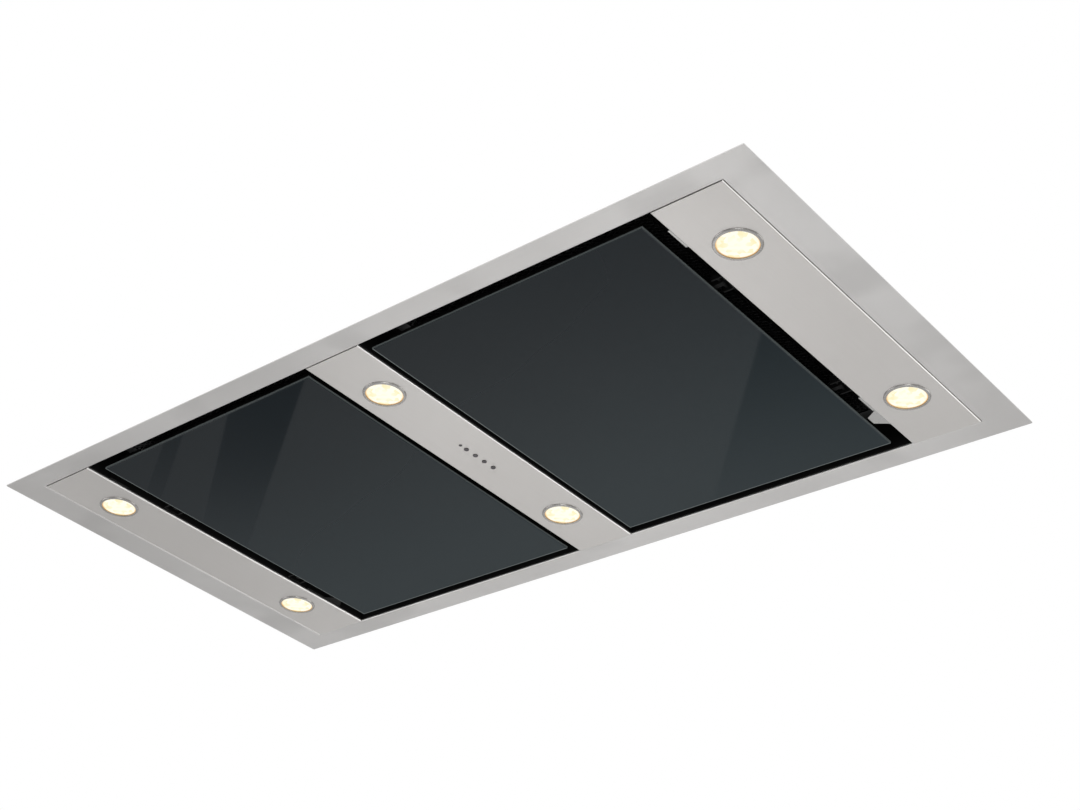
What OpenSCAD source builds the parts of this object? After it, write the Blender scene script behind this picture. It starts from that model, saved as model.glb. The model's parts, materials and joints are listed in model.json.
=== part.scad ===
// Cassette range hood that is recessed in a ceiling: a brushed steel face, two glass panels
// that swing down, six lamps, push buttons, grease filters and a built-in blower.
// +Z points up into the ceiling, X runs along the long side, and z = 0 is the visible face.
// Sizes are in millimetres.

/* [Face] */
// Length of the face along X
face_w = 1200; // [1000:10:1400]
// Depth of the face along Y
face_d = 600; // [540:10:720]
// Thickness of the face sheet
face_t = 1.2; // [0.8:0.1:2]
// Width of the flange at the two short sides
side_flange_w = 46.5; // [40:0.5:60]
// Width of the flange along the two long sides
long_flange_w = 33; // [32:0.5:45]
// Width of each side strip
side_strip_w = 90; // [80:1:110]
// Width of the centre strip
centre_strip_w = 87; // [80:1:110]
// Height of the folded edge round the window and the strips
fold_h = 6; // [4:0.5:8]
// Outside radius of the sheet bends
bend_r = 2; // [1.5:0.1:2.5]
// Seam between a strip and the flange
seam = 0.7; // [0.4:0.1:1.5]
// Height of the collar that holds the casing
collar_h = 24; // [15:1:40]
// Height of the strips' end tabs above the jog
tab_h = 18; // [10:1:30]

/* [Casing] */
// Gap between the edge of the flange and the casing
casing_inset = 30; // [28:1:31]
// Thickness of the casing sheet
casing_t = 1; // [0.8:0.1:1.5]
// Outside radius of the casing's upright bends
casing_bend_r = 3; // [2:0.1:5]
// Width of the folded rim that carries the casing's top
rim_w = 14; // [10:1:20]
// Width of the stiffening beads pressed into the casing
bead_w = 18; // [14:1:24]
// Height of the stiffening beads
bead_h = 3; // [2:0.1:4]
// Distance from the casing's corners to the ends of its wall beads
bead_inset = 60; // [40:5:100]
// Clearance between sheets that slide into each other
sheet_gap = 0.3; // [0.2:0.1:0.5]
// Radius of a casing screw
screw_r = 1.9; // [1.5:0.1:2.5]
// Distance from the casing's edge to its screws
screw_inset = 8; // [6:0.5:9]
// Length of a casing screw below the top
screw_len = 7; // [5:1:10]

/* [Glass panels] */
// Gap between a panel and the side strip, where it is hinged
outer_gap = 20.5; // [19:0.5:24]
// Gap between a panel and the centre strip
inner_gap = 9.8; // [8:0.2:14]
// Gap between a panel and the flange
end_gap = 15.5; // [12:0.5:20]
// Thickness of the glass
glass_t = 4; // [3:0.5:4.5]
// Ground edge of the glass
arris = 0.8; // [0.4:0.1:1.2]
// Distance from the edge of the glass to the steel tray behind it
tray_margin = 12; // [10:1:20]
// Height of the tray behind the glass
tray_h = 16; // [14:0.5:18]
// Thickness of the tray's sheet
tray_t = 1; // [0.8:0.1:1.5]
// Outside radius of the tray's upright bends
tray_bend_r = 3; // [2:0.1:6]
// Width of the tray's folded lip
lip_w = 8; // [5:1:15]
// Distance from each end of the panel to its nearer hinge
hinge_inset_y = 131.5; // [130:0.5:160]
// Distance from the edge of the opening to the hinge's axis
hinge_inset = 11.5; // [11:0.5:12.5]
// Height of the hinge's axis above the face
hinge_z = 9; // [8.5:0.25:9.5]
// Radius of a hinge pin
pin_r = 2; // [1.5:0.1:2.5]
// Radial clearance of a pin or shaft that turns in its bore
running_gap = 0.05; // [0.02:0.01:0.09]
// Outside radius of the panel's hinge eye
eye_r = 4.2; // [3.5:0.1:4.4]
// Thickness of the panel's hinge arm
arm_t = 6; // [4:0.5:10]
// Distance between a hinge bracket's ears
ear_gap = 22; // [16:1:30]
// Thickness of a bracket's sheet
bracket_t = 2; // [1.5:0.1:3]

/* [Edge clips and catches] */
// Distance from the opening's near end to the near clip's centre
near_clip_inset = 54; // [45:1:80]
// Distance from the opening's far end to the far clip's centre
far_clip_inset = 102; // [90:1:115]
// Length of a clip
clip_len = 33; // [20:1:40]
// Reach of a clip into the gap
clip_reach = 4; // [3:0.5:6]
// Length of the far clip's wide tab at its root
tab_len = 35; // [25:1:40]
// Reach of the wide tab into the gap
tab_reach = 17; // [10:0.5:18]
// Share of the tab's length that each slanted side takes
tab_slant_share = 0.3; // [0.1:0.05:0.4]
// Thickness of a clip's sheet
clip_t = 1.2; // [0.8:0.1:1.5]
// Height of a clip's upright leg
clip_h = 10; // [8:1:15]
// Size of a catch magnet's holder along X, Y and Z
magnet_size = [34, 40, 12];
// Distance from the middle of the panel to each catch magnet
magnet_y = 150; // [60:5:200]

/* [Liner and grease filter] */
// Depth of the liner above the visible face
liner_h = 52; // [50:1:56]
// Thickness of the liner's sheet
liner_t = 1; // [0.8:0.1:1.5]
// Height at which the liner starts above the visible face
liner_z = 3; // [2.5:0.5:4]
// Width of the ledge that the filter lies against
ledge_w = 32; // [28:1:40]
// Share of the ledge that the filter's frame covers
filter_seat_share = 0.45; // [0.3:0.05:0.6]
// Thickness of the grease filter
filter_t = 9; // [8:0.5:10]
// Width of the filter's frame
filter_frame_w = 16; // [14:1:24]
// Corner radius of the filter's frame
filter_corner_r = 5; // [2:0.5:8]
// Thickness of the filter's mesh pack
mesh_t = 6; // [4:0.5:7]
// Width of each filter hook
hook_w = 22; // [15:1:40]
// Distance from the filter's middle to each hook
hook_x = 110; // [60:5:150]
// Thickness of a filter hook
hook_t = 1.5; // [1:0.1:2]
// How far a hook reaches under the filter
hook_reach = 7; // [4:0.5:10]
// Width of the latch
latch_w = 44; // [30:1:60]
// Length of the latch plate along Y
latch_len = 40; // [30:1:60]
// Thickness of the latch plate
latch_t = 2; // [1.5:0.1:2.2]
// Width of the latch's tongue
tongue_w = 20; // [12:1:30]
// Travel of the latch
latch_travel = 9; // [8:0.5:10]
// Radius of the latch's finger knob
knob_r = 7; // [5:0.5:9]
// Height of the latch's finger knob
knob_h = 8; // [5:0.5:9]

/* [Lamps] */
// Distance from the flange's inner edge to a row of lamps, along Y
lamp_inset = 93.5; // [65:0.5:140]
// Outside radius of a lamp's bezel
bezel_r = 27; // [24:0.5:32]
// How far a bezel stands below the face
bezel_proud = 1.5; // [1:0.1:2.5]
// Width of the bezel's lip round the lens
bezel_lip = 3.6; // [3:0.1:5]
// Radius of the bezel's neck
neck_r = 25.2; // [22.5:0.1:26]
// Wall of the bezel's neck
neck_t = 1; // [0.8:0.1:1.5]
// Height of the bezel's neck
neck_h = 8; // [6:0.5:10]
// Thickness of the lens's rim
lens_t = 2.2; // [1.5:0.1:3]
// Height of the lamp's body above the lens
lamp_body_h = 28; // [20:1:40]
// Number of cooling fins on a lamp's body
fin_count = 5; // [3:1:8]

/* [Controls] */
// Position of the first button along Y
first_button_y = -21.5; // [-30:0.5:-10]
// Distance between buttons
button_pitch = 17.5; // [14:0.5:22]
// Radius of a button
button_r = 3.2; // [2.5:0.1:4.5]
// How far a button stands below the face
button_proud = 0.8; // [0.5:0.1:1.4]
// Travel of a button
button_travel = 1.5; // [1:0.1:2]
// Clearance round a button in the strip
button_gap = 0.15; // [0.1:0.05:0.3]
// Distance from the indicator to the first button
indicator_pitch = 11.5; // [10:0.5:14]
// Radius of the indicator
indicator_r = 2.2; // [1.5:0.1:3]
// Size of the control box along X, Y and Z
control_size = [56, 150, 26];

/* [Blower] */
// Radius of the impeller
impeller_r = 70; // [66:1:72]
// Gap between each end of the impeller and the scroll's side
impeller_side_gap = 15; // [13:0.5:20]
// Number of blades
blade_count = 32; // [24:1:40]
// Radial depth of the blades
blade_depth = 12; // [10:0.5:14]
// Thickness of a blade
blade_t = 1; // [0.8:0.1:1.5]
// Radius of a blade's curve
blade_curve_r = 9; // [8:0.5:14]
// Forward lean of the blades in degrees
blade_lean = 25; // [0:1:35]
// Gap between the impeller and the tongue of the scroll
tongue_gap = 6; // [4:0.5:8]
// How much the scroll opens out
scroll_growth = 38; // [34:1:39]
// Inside width of the scroll
scroll_w = 130; // [124:1:150]
// Thickness of the scroll's sheet
scroll_t = 1.5; // [1:0.1:2]
// Clearance between the liners and the scroll
scroll_clearance = 5.9; // [4:0.1:20]
// Rise of the scroll's mouth above the impeller
mouth_rise = 17; // [10:0.5:40]
// Throat radius of the inlets
inlet_r = 60; // [56:1:62]
// Radius of the inlets' rounded mouth
bell_r = 10; // [6:1:12]
// Width of the inlets' flange
inlet_flange_w = 10; // [6:1:12]
// Radius of the motor
motor_r = 40; // [34:1:44]
// Length of the motor
motor_len = 110; // [90:1:120]
// Radius of the motor's shaft
shaft_r = 4; // [3:0.5:5]

/* [Duct outlet] */
// Outside radius of the duct spigot
spigot_r = 75; // [72:1:80]
// Height of the duct spigot
spigot_h = 75; // [60:1:100]
// Wall of the spigot
spigot_t = 1.2; // [1:0.1:2]
// Width of the spigot's base flange
spigot_flange_w = 18; // [12:1:25]
// Distance from the middle of the spigot to each flap's axis
flap_axis_y = 4.5; // [3.5:0.1:6]
// Radius of a flap's rod
rod_r = 2; // [1.5:0.1:2.5]
// Thickness of a flap
flap_t = 1.2; // [0.8:0.1:1.6]
// Width of the ledge that the flaps close on
flap_ledge_w = 4; // [3:0.5:6]

/* [Electrics and hangers] */
// Size of the terminal box along X, Y and Z
terminal_size = [120, 86, 38];
// Distance from the casing's corner to the terminal box's middle along X and Y
terminal_inset = [270, 120];
// Wall of the terminal box
terminal_t = 2; // [1.5:0.1:3]
// Corner radius of the terminal box
terminal_corner_r = 5; // [3:0.5:10]
// Height of the terminal box's cover
cover_h = 10; // [6:1:14]
// Radius of the bore of the cable gland
gland_bore_r = 4.5; // [3:0.1:6]
// Length of the cable gland outside the box
gland_len = 20; // [14:1:30]
// Size of the lamp driver along X, Y and Z
driver_size = [44, 130, 24];
// Distance from the casing's side to the hanger holes along X
hanger_inset_x = 90; // [60:5:150]
// Distance from the casing's side to the hanger holes along Y
hanger_inset_y = 80; // [40:5:120]
// Radius of a hanger hole
hanger_hole_r = 4.5; // [3:0.1:6]
// Width of a hanger
hanger_w = 44; // [30:1:60]
// Height of a hanger
hanger_h = 30; // [20:1:40]
// Length of a hanger's foot and of its upper leg
hanger_leg = 32; // [26:1:40]
// Thickness of a hanger's sheet
hanger_t = 2.5; // [2:0.1:4]
// Outside radius of a hanger's bends
hanger_bend_r = 5; // [4:0.5:8]

/* [Hidden] */
$fn = 64;
// Overrun of every cut
cut = 1;
// Clearance between pieces that rest on each other without touching
rest_gap = 0.3;
// How far the shapes of one piece run into each other
fuse = 0.5;

// Face
window_w = face_w - 2 * side_flange_w;
window_d = face_d - 2 * long_flange_w;
opening_w = (window_w - 2 * side_strip_w - centre_strip_w) / 2;
open_in = centre_strip_w / 2;
open_out = open_in + opening_w;
open_mid = open_in + opening_w / 2;
strip_d = window_d - 2 * seam;
side_strip_mid = open_out + side_strip_w / 2;
corner_r = 1.5;

// Casing, which is as high as the scroll over the liners
casing_w = face_w - 2 * casing_inset;
casing_d = face_d - 2 * casing_inset;
wall_in_y = casing_d / 2 - casing_t;
scroll_r0 = impeller_r + tongue_gap;
scroll_r1 = scroll_r0 + scroll_growth;
tongue_angle = 60;
scroll_low_share = (270 - tongue_angle) / (360 - tongue_angle);
scroll_low_r = scroll_r0 + scroll_growth * scroll_low_share + scroll_t;
liner_top = liner_h + liner_t;
shaft_z = liner_top + scroll_clearance + scroll_low_r;
casing_h = shaft_z + impeller_r + mouth_rise;
collar_w = casing_w + 2 * (sheet_gap + face_t);
collar_d = casing_d + 2 * (sheet_gap + face_t);
casing_top_z = casing_h - casing_t;
screw_rows = 4;
screw_head_r = 2 * screw_r;
screw_head_share = 1.3;
screw_head_h = screw_head_share * screw_r;
screw_span_x = casing_w - 2 * screw_inset;
screw_span_y = casing_d - 2 * screw_inset;
bead_r = (bead_w * bead_w / 4 + bead_h * bead_h) / (2 * bead_h);
wall_bead_shares = [0.4, 0.74];

// Glass panels, as at the right opening
glass_in = open_in + inner_gap;
glass_out = open_out - outer_gap;
glass_d = window_d - 2 * end_gap;
tray_in = glass_in + tray_margin;
tray_out = glass_out - tray_margin;
tray_d = glass_d - 2 * tray_margin;
tray_top = glass_t + tray_h;
hinge_y = glass_d / 2 - hinge_inset_y;
hinge_x = open_out - hinge_inset;
pin_len = ear_gap + 2 * bracket_t + pin_r;

// Liner
liner_in = open_in + sheet_gap;
liner_out = open_out - sheet_gap;
liner_d = window_d - 2 * sheet_gap;
near_clip_y = window_d / 2 - near_clip_inset;
far_clip_y = window_d / 2 - far_clip_inset;
filter_w = liner_out - liner_in - 2 * liner_t - 2 * ledge_w * (1 - filter_seat_share);
filter_d = liner_d - 2 * liner_t - 2 * ledge_w * (1 - filter_seat_share);
filter_z = liner_h - filter_t;
latch_z = filter_z - rest_gap - latch_t;
latch_y = filter_d / 2 - filter_frame_w - latch_len / 2;
guide_t = 3;
filter_plate_t = 1;
strike_y = filter_d / 2 + latch_travel - 2 * hook_t;
strike_h = 4;

// Lamps
lamp_y = window_d / 2 - lamp_inset;
lamp_spots = [
    for (x = [-side_strip_mid, 0, side_strip_mid]) for (y = [-lamp_y, lamp_y]) [x, y]
];
lens_open_r = bezel_r - bezel_lip;
lens_r = neck_r - neck_t - rest_gap;
lens_drop_share = 0.6;
lens_drop = lens_drop_share * bezel_proud;
lamp_body_r = lens_r - rest_gap;
lamp_hole_r = neck_r + rest_gap;

// Controls
buttons_y = [for (i = [0:3]) first_button_y + i * button_pitch];
indicator_y = first_button_y - indicator_pitch;
button_collar_share = 1.4;
button_collar_r = button_collar_share * button_r;
button_collar_t = 1;
button_collar_z = face_t + rest_gap;
cap_top = button_collar_z + button_collar_t + button_travel + rest_gap;
bank_z = cap_top;
bank_h = 3 * button_collar_t + 2 * button_travel;
bank_w = 26;
bank_end = 12;
bank_top = bank_z + bank_h;
stem_r = button_r / 2;
bank_y0 = indicator_y - bank_end;
bank_y1 = buttons_y[3] + bank_end;

// Blower: the scroll opens anticlockwise from its tongue, seen along X from the +X side
mouth_y0 = scroll_r0 * cos(tongue_angle);
mouth_mid = (mouth_y0 + scroll_r1) / 2;
shaft_y = -mouth_mid;
scroll_steps = 40;
mouth_flange_w = 12;
impeller_w = scroll_w - 2 * impeller_side_gap;
impeller_ring_t = 2;
hub_r = 3 * shaft_r;
hub_w = 6 * shaft_r;
shaft_in_motor = 5 * shaft_r;
motor_end = -hub_w / 2 - shaft_r;
bracket_ring_t = 4;
arm_w = 12;
arm_len = 28;
arm_x = -scroll_w / 2 - scroll_t - arm_len;
arm_reach = inlet_r + bell_r + inlet_flange_w + arm_w / 4;
motor_cap_share = 0.85;
motor_band_share = 0.6;

// Duct outlet
bore_r = spigot_r - spigot_t;
flap_gap = 2;
flap_r = bore_r - flap_gap;
flap_rise = 10;
flap_z = casing_h + flap_rise;

// Hangers
hanger_span_x = casing_w - 2 * hanger_inset_x;
hanger_span_y = casing_d - 2 * hanger_inset_y;

// Electrics
terminal_z = casing_h;
terminal_place = [casing_w / 2 - terminal_inset.x, casing_d / 2 - terminal_inset.y];
gland_z = terminal_z + (terminal_size.z - cover_h) / 2;
top_beads_x = [
    (spigot_r + spigot_flange_w + terminal_place.x - terminal_size.x / 2) / 2,
    terminal_place.x + terminal_size.x / 2 + gland_len + bead_w
];
gland_share = 2.2;
gland_r = gland_share * gland_bore_r;
gland_nut_share = 0.85;
gland_neck_share = 1.5;
gland_neck_r = gland_neck_share * gland_bore_r;

// Helpers

// A block from its low corner to its high corner
module block(low, high) {
    translate(low) cube(high - low);
}

// The children's outline, drawn in Y and Z, drawn out along X about x = 0
module along_x(length) {
    translate([-length / 2, 0, 0]) rotate([90, 0, 90]) linear_extrude(length) children();
}

// The children's outline, drawn in X and Z, drawn out along Y about y = 0
module along_y(length) {
    translate([0, length / 2, 0]) rotate([90, 0, 0]) linear_extrude(length) children();
}

// A cylinder along X, from x0 to x1
module rod_x(x0, x1, r) {
    translate([x0, 0, 0]) rotate([0, 90, 0]) cylinder(h = x1 - x0, r = r);
}

// A cylinder along Y about y = 0
module rod_y(length, r) {
    rotate([90, 0, 0]) cylinder(h = length, r = r, center = true);
}

// A four-sided tube between two rectangles, w0 by d0 inside and t thick
module rect_tube(w0, d0, t, z0, z1) {
    difference() {
        block([-w0 / 2 - t, -d0 / 2 - t, z0], [w0 / 2 + t, d0 / 2 + t, z1]);
        block([-w0 / 2, -d0 / 2, z0 - cut], [w0 / 2, d0 / 2, z1 + cut]);
    }
}

// A rectangle about the middle with round corners
module round_rect(w, d, r) {
    square([w - 2 * r, d], center = true);
    square([w, d - 2 * r], center = true);
    for (x = [-1, 1]) for (y = [-1, 1]) translate([x * (w / 2 - r), y * (d / 2 - r)]) circle(r);
}

// A four-sided tube of bent sheet, w by d and r at its corners outside
module bent_tube(w, d, t, r, z0, z1) {
    translate([0, 0, z0]) linear_extrude(z1 - z0) difference() {
        round_rect(w, d, r);
        round_rect(w - 2 * t, d - 2 * t, r - t);
    }
}

// A flat rim, w by d outside and rim wide
module flat_rim(w, d, rim, r, z0, z1) {
    translate([0, 0, z0]) linear_extrude(z1 - z0) difference() {
        round_rect(w, d, r);
        square([w - 2 * rim, d - 2 * rim], center = true);
    }
}

// A rod along X with round ends, which presses a bead into a sheet
module bead_rod(length, r) {
    rod_x(-length / 2, length / 2, r);
    for (x = [-1, 1]) translate([x * length / 2, 0, 0]) sphere(r);
}

// The outline of a folded edge: its upright stands at x = 0 and its sheet runs to +X
module folded_edge(run, height, t, r) {
    difference() {
        union() {
            translate([0, r]) square([t, height - r]);
            translate([r, 0]) square([run - r, t]);
            translate([r, r]) intersection() {
                circle(r);
                translate([-r, -r]) square(r);
            }
        }
        translate([r, r]) circle(r - t);
    }
}

// A strip's outline across its width: a flat sheet with both edges folded up
module channel_outline(w, height, t, r) {
    for (side = [0, 1]) mirror([side, 0]) translate([-w / 2, 0]) folded_edge(w / 2 + t, height, t, r);
}

// One shape for the right opening, repeated at the left
module left() {
    mirror([1, 0, 0]) children();
}

module both_sides() {
    children();
    left() children();
}

// Face

module face_frame() {
    color("silver") difference() {
        union() {
            difference() {
                translate([0, 0, face_t / 2]) cube([face_w, face_d, face_t], center = true);
                block(
                    [-window_w / 2 - bend_r, -window_d / 2 - bend_r, -cut],
                    [window_w / 2 + bend_r, window_d / 2 + bend_r, face_t + cut]
                );
            }
            for (turn = [0, 180]) rotate([0, 0, turn]) {
                translate([window_w / 2, 0, 0]) along_y(window_d + 2 * bend_r)
                    folded_edge(bend_r + face_t, fold_h, face_t, bend_r);
                translate([0, window_d / 2, 0]) rotate([0, 0, 90]) along_y(window_w + 2 * bend_r)
                    folded_edge(bend_r + face_t, fold_h, face_t, bend_r);
            }
            rect_tube(
                collar_w - 2 * face_t, collar_d - 2 * face_t, face_t, face_t / 2, collar_h
            );
        }
        for (x = [-1, 1]) for (y = [-1, 1]) corner_waste(x, y);
    }
}

// What is cut from a corner of the face to round it
module corner_waste(x, y) {
    translate([x * face_w / 2, y * face_d / 2, -cut]) difference() {
        translate([-corner_r, -corner_r, 0]) cube([2 * corner_r, 2 * corner_r, face_t + 2 * cut]);
        translate([-x * corner_r, -y * corner_r, -cut]) cylinder(h = face_t + 4 * cut, r = corner_r);
    }
}

// The end of a strip: it rises inside the window, steps over the fold and lies on the casing
module end_tab(w) {
    tab_w = w - 2 * (bend_r + seam);
    y0 = strip_d / 2;
    y1 = wall_in_y - sheet_gap;
    z1 = fold_h + rest_gap;
    block([-tab_w / 2, y0 - face_t, 0], [tab_w / 2, y0, z1 + face_t]);
    block([-tab_w / 2, y0 - face_t, z1], [tab_w / 2, y1, z1 + face_t]);
    block([-tab_w / 2, y1 - face_t, z1], [tab_w / 2, y1, z1 + tab_h]);
}

// A strip with two lamp holes, offset_x beside its middle
module strip(w, offset_x) {
    difference() {
        union() {
            along_y(strip_d) channel_outline(w, fold_h, face_t, bend_r);
            for (turn = [0, 180]) rotate([0, 0, turn]) end_tab(w);
        }
        for (y = [-lamp_y, lamp_y])
            translate([offset_x, y, -cut]) cylinder(h = face_t + 2 * cut, r = lamp_hole_r);
    }
}

// A side strip loses the seam at its outer edge only, so its lamps stand beside its middle
module right_strip() {
    color("silver") translate([side_strip_mid - seam / 2, 0, 0]) strip(side_strip_w - seam, seam / 2);
}

module left_strip() {
    left() right_strip();
}

module centre_strip() {
    color("silver") difference() {
        strip(centre_strip_w, 0);
        for (y = buttons_y)
            translate([0, y, -cut]) cylinder(h = face_t + 2 * cut, r = button_r + button_gap);
        translate([0, indicator_y, -cut])
            cylinder(h = face_t + 2 * cut, r = indicator_r + button_gap);
    }
}

// Casing

// Where the casing's screws stand
module at_screws() {
    for (i = [0:screw_rows]) for (y = [-1, 1])
        translate([(i / screw_rows - 1 / 2) * screw_span_x, y * screw_span_y / 2, 0]) children();
    for (x = [-1, 1]) translate([x * screw_span_x / 2, 0, 0]) children();
}

// The rods that press the beads into the four walls, from inside
module wall_beads(r) {
    centre = bead_h - bead_r;
    for (turn = [0, 180]) rotate([0, 0, turn]) for (share = wall_bead_shares) {
        translate([0, casing_d / 2 + centre, share * casing_h])
            bead_rod(casing_w - 2 * bead_inset, r);
        translate([casing_w / 2 + centre, 0, share * casing_h]) rotate([0, 0, 90])
            bead_rod(casing_d - 2 * bead_inset, r);
    }
}

module casing_walls() {
    color("lightgray") difference() {
        union() {
            bent_tube(casing_w, casing_d, casing_t, casing_bend_r, face_t, casing_top_z);
            flat_rim(
                casing_w - casing_t, casing_d - casing_t, rim_w - casing_t / 2,
                casing_bend_r - casing_t / 2, casing_top_z - casing_t, casing_top_z
            );
            intersection() {
                wall_beads(bead_r);
                rect_tube(
                    casing_w - 2 * casing_t, casing_d - 2 * casing_t, casing_t + 2 * bead_h,
                    face_t, casing_top_z
                );
            }
        }
        wall_beads(bead_r - casing_t);
        at_screws() translate([0, 0, casing_top_z - casing_t - cut])
            cylinder(h = casing_t + 2 * cut, r = screw_r + running_gap);
    }
}

// The rods that press the beads into the casing's top, from inside
module top_beads(r) {
    both_sides() for (x = top_beads_x)
        translate([x, 0, casing_h + bead_h - bead_r]) rotate([0, 0, 90])
            bead_rod(casing_d - 2 * bead_inset, r);
}

module casing_top() {
    color("lightgray") difference() {
        union() {
            translate([0, 0, casing_top_z]) linear_extrude(casing_t)
                round_rect(casing_w, casing_d, casing_bend_r);
            intersection() {
                top_beads(bead_r);
                block(
                    [-casing_w / 2, -casing_d / 2, casing_top_z],
                    [casing_w / 2, casing_d / 2, casing_h + 2 * bead_h]
                );
            }
        }
        top_beads(bead_r - casing_t);
        translate([0, 0, casing_top_z - cut]) cylinder(h = casing_t + 2 * cut, r = bore_r);
        at_screws() translate([0, 0, casing_top_z - cut])
            cylinder(h = casing_t + 2 * cut, r = screw_r + running_gap);
    }
}

module top_screws() {
    color("gainsboro") at_screws() {
        translate([0, 0, casing_h])
            cylinder(h = screw_head_h, r1 = screw_head_r, r2 = screw_head_r / 2);
        translate([0, 0, casing_h - screw_len]) cylinder(h = screw_len, r = screw_r);
    }
}

// A Z-shaped hanger with its foot towards the middle of the hood
module hanger() {
    difference() {
        along_y(hanger_w) for (turn = [0, 180])
            translate([0, hanger_h / 2]) rotate(turn) translate([hanger_t / 2, -hanger_h / 2])
                mirror([1, 0]) folded_edge(
                    hanger_leg + hanger_t, hanger_h / 2 + fuse, hanger_t, hanger_bend_r
                );
        translate([hanger_leg / 2, 0, hanger_h - hanger_t - cut])
            cylinder(h = hanger_t + 2 * cut, r = hanger_hole_r);
    }
}

module hanger_brackets() {
    color("gainsboro") both_sides() for (y = [-1, 1])
        translate([hanger_span_x / 2 - hanger_leg / 2, y * hanger_span_y / 2, casing_h]) hanger();
}

// Liner and grease filter, as at the right opening

// A hook that holds the filter's fixed end, drawn along X
module filter_hook() {
    y0 = filter_d / 2 + rest_gap;
    z0 = filter_z - rest_gap - hook_t;
    translate([-hook_w / 2, 0, 0]) {
        block([0, y0, z0], [hook_w, y0 + hook_t, liner_h + liner_t / 2]);
        block([0, y0 - hook_reach, z0], [hook_w, y0 + hook_t, z0 + hook_t]);
    }
}

// The strike plate that the latch's tongue goes through
module filter_strike() {
    z0 = latch_z - rest_gap;
    z1 = z0 + latch_t + 2 * rest_gap;
    side = (tongue_w + 2 * strike_h) / 2;
    difference() {
        block([-side, strike_y, z0 - strike_h], [side, strike_y + hook_t, liner_h + liner_t / 2]);
        block(
            [-tongue_w / 2 - rest_gap, strike_y - cut, z0],
            [tongue_w / 2 + rest_gap, strike_y + hook_t + cut, z1]
        );
    }
}

module right_liner() {
    w0 = liner_out - liner_in - 2 * liner_t;
    d0 = liner_d - 2 * liner_t;
    color("#141414") translate([open_mid, 0, 0]) {
        rect_tube(w0, d0, liner_t, liner_z, liner_top);
        rect_tube(w0 - 2 * ledge_w, d0 - 2 * ledge_w, ledge_w + liner_t / 2, liner_h, liner_top);
        for (x = [-1, 1]) translate([x * hook_x, 0, 0]) rotate([0, 0, 180]) filter_hook();
        filter_strike();
    }
}

module left_liner() {
    left() right_liner();
}

// A guide that the latch slides in, on the filter's frame
module latch_guide() {
    x0 = latch_w / 2 + rest_gap;
    z0 = latch_z - rest_gap - guide_t / 2;
    translate([0, latch_y, 0]) {
        block([x0, -latch_len / 4, z0], [x0 + guide_t, latch_len / 4, filter_z + fuse]);
        block([x0 - guide_t, -latch_len / 4, z0], [x0 + guide_t, latch_len / 4, z0 + guide_t / 2]);
    }
}

module right_filter_frame() {
    plate_w = latch_w + 2 * (rest_gap + guide_t);
    y1 = filter_d / 2 - filter_frame_w;
    color("silver") translate([open_mid, 0, 0]) {
        flat_rim(filter_w, filter_d, filter_frame_w, filter_corner_r, filter_z, liner_h);
        block(
            [-plate_w / 2, y1 - latch_len, filter_z],
            [plate_w / 2, y1 + filter_frame_w / 2, filter_z + filter_plate_t]
        );
        for (side = [0, 1]) mirror([side, 0, 0]) latch_guide();
    }
}

module left_filter_frame() {
    left() right_filter_frame();
}

module right_filter_mesh() {
    mesh_w = filter_w - 2 * filter_frame_w;
    mesh_d = filter_d - 2 * filter_frame_w;
    color("gainsboro") translate([open_mid, 0, liner_h - mesh_t - filter_plate_t])
        translate([-mesh_w / 2, -mesh_d / 2, 0]) cube([mesh_w, mesh_d, mesh_t]);
}

module left_filter_mesh() {
    left() right_filter_mesh();
}

module right_filter_latch() {
    color("#202020") translate([open_mid, 0, 0]) {
        block(
            [-latch_w / 2, latch_y - latch_len / 2, latch_z],
            [latch_w / 2, latch_y + latch_len / 2, latch_z + latch_t]
        );
        block(
            [-tongue_w / 2, latch_y, latch_z],
            [tongue_w / 2, strike_y + 2 * hook_t, latch_z + latch_t]
        );
        translate([0, latch_y - latch_len / 4, latch_z - knob_h]) difference() {
            cylinder(h = knob_h + latch_t / 2, r = knob_r);
            translate([0, 0, -cut]) cylinder(h = knob_h / 2 + cut, r = knob_r - latch_t);
        }
    }
}

module left_filter_latch() {
    left() right_filter_latch();
}

// Glass panels, as at the right opening

// A flat plate with ground edges, its outline drawn along each side in turn
module ground_plate(w, d, t, edge) {
    intersection() {
        along_y(d) ground_outline(w, t, edge);
        along_x(w) ground_outline(d, t, edge);
    }
}

module ground_outline(w, t, edge) {
    polygon([
        [-w / 2 + edge, 0], [w / 2 - edge, 0], [w / 2, edge], [w / 2, t - edge],
        [w / 2 - edge, t], [-w / 2 + edge, t], [-w / 2, t - edge], [-w / 2, edge]
    ]);
}

module right_glass() {
    color("#2c3437") translate([(glass_in + glass_out) / 2, 0, 0])
        ground_plate(glass_out - glass_in, glass_d, glass_t, arris);
}

module left_glass() {
    left() right_glass();
}

// An arm from the tray to the hinge pin
module hinge_arm() {
    along_y(arm_t) difference() {
        union() {
            translate([hinge_x, hinge_z]) circle(eye_r);
            translate([tray_out - tray_t, hinge_z - eye_r])
                square([hinge_x - tray_out + tray_t, 2 * eye_r]);
        }
        translate([hinge_x, hinge_z]) circle(pin_r);
    }
}

module right_panel_tray() {
    tray_w = tray_out - tray_in;
    color("#161616") {
        translate([(tray_in + tray_out) / 2, 0, 0]) {
            bent_tube(tray_w, tray_d, tray_t, tray_bend_r, glass_t, tray_top);
            flat_rim(
                tray_w - tray_t, tray_d - tray_t, lip_w - tray_t / 2, tray_bend_r - tray_t / 2,
                tray_top - tray_t, tray_top
            );
            translate([0, 0, glass_t]) linear_extrude(tray_t)
                round_rect(tray_w - tray_t, tray_d - tray_t, tray_bend_r - tray_t / 2);
        }
        for (y = [-hinge_y, hinge_y]) translate([0, y, 0]) hinge_arm();
    }
}

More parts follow.
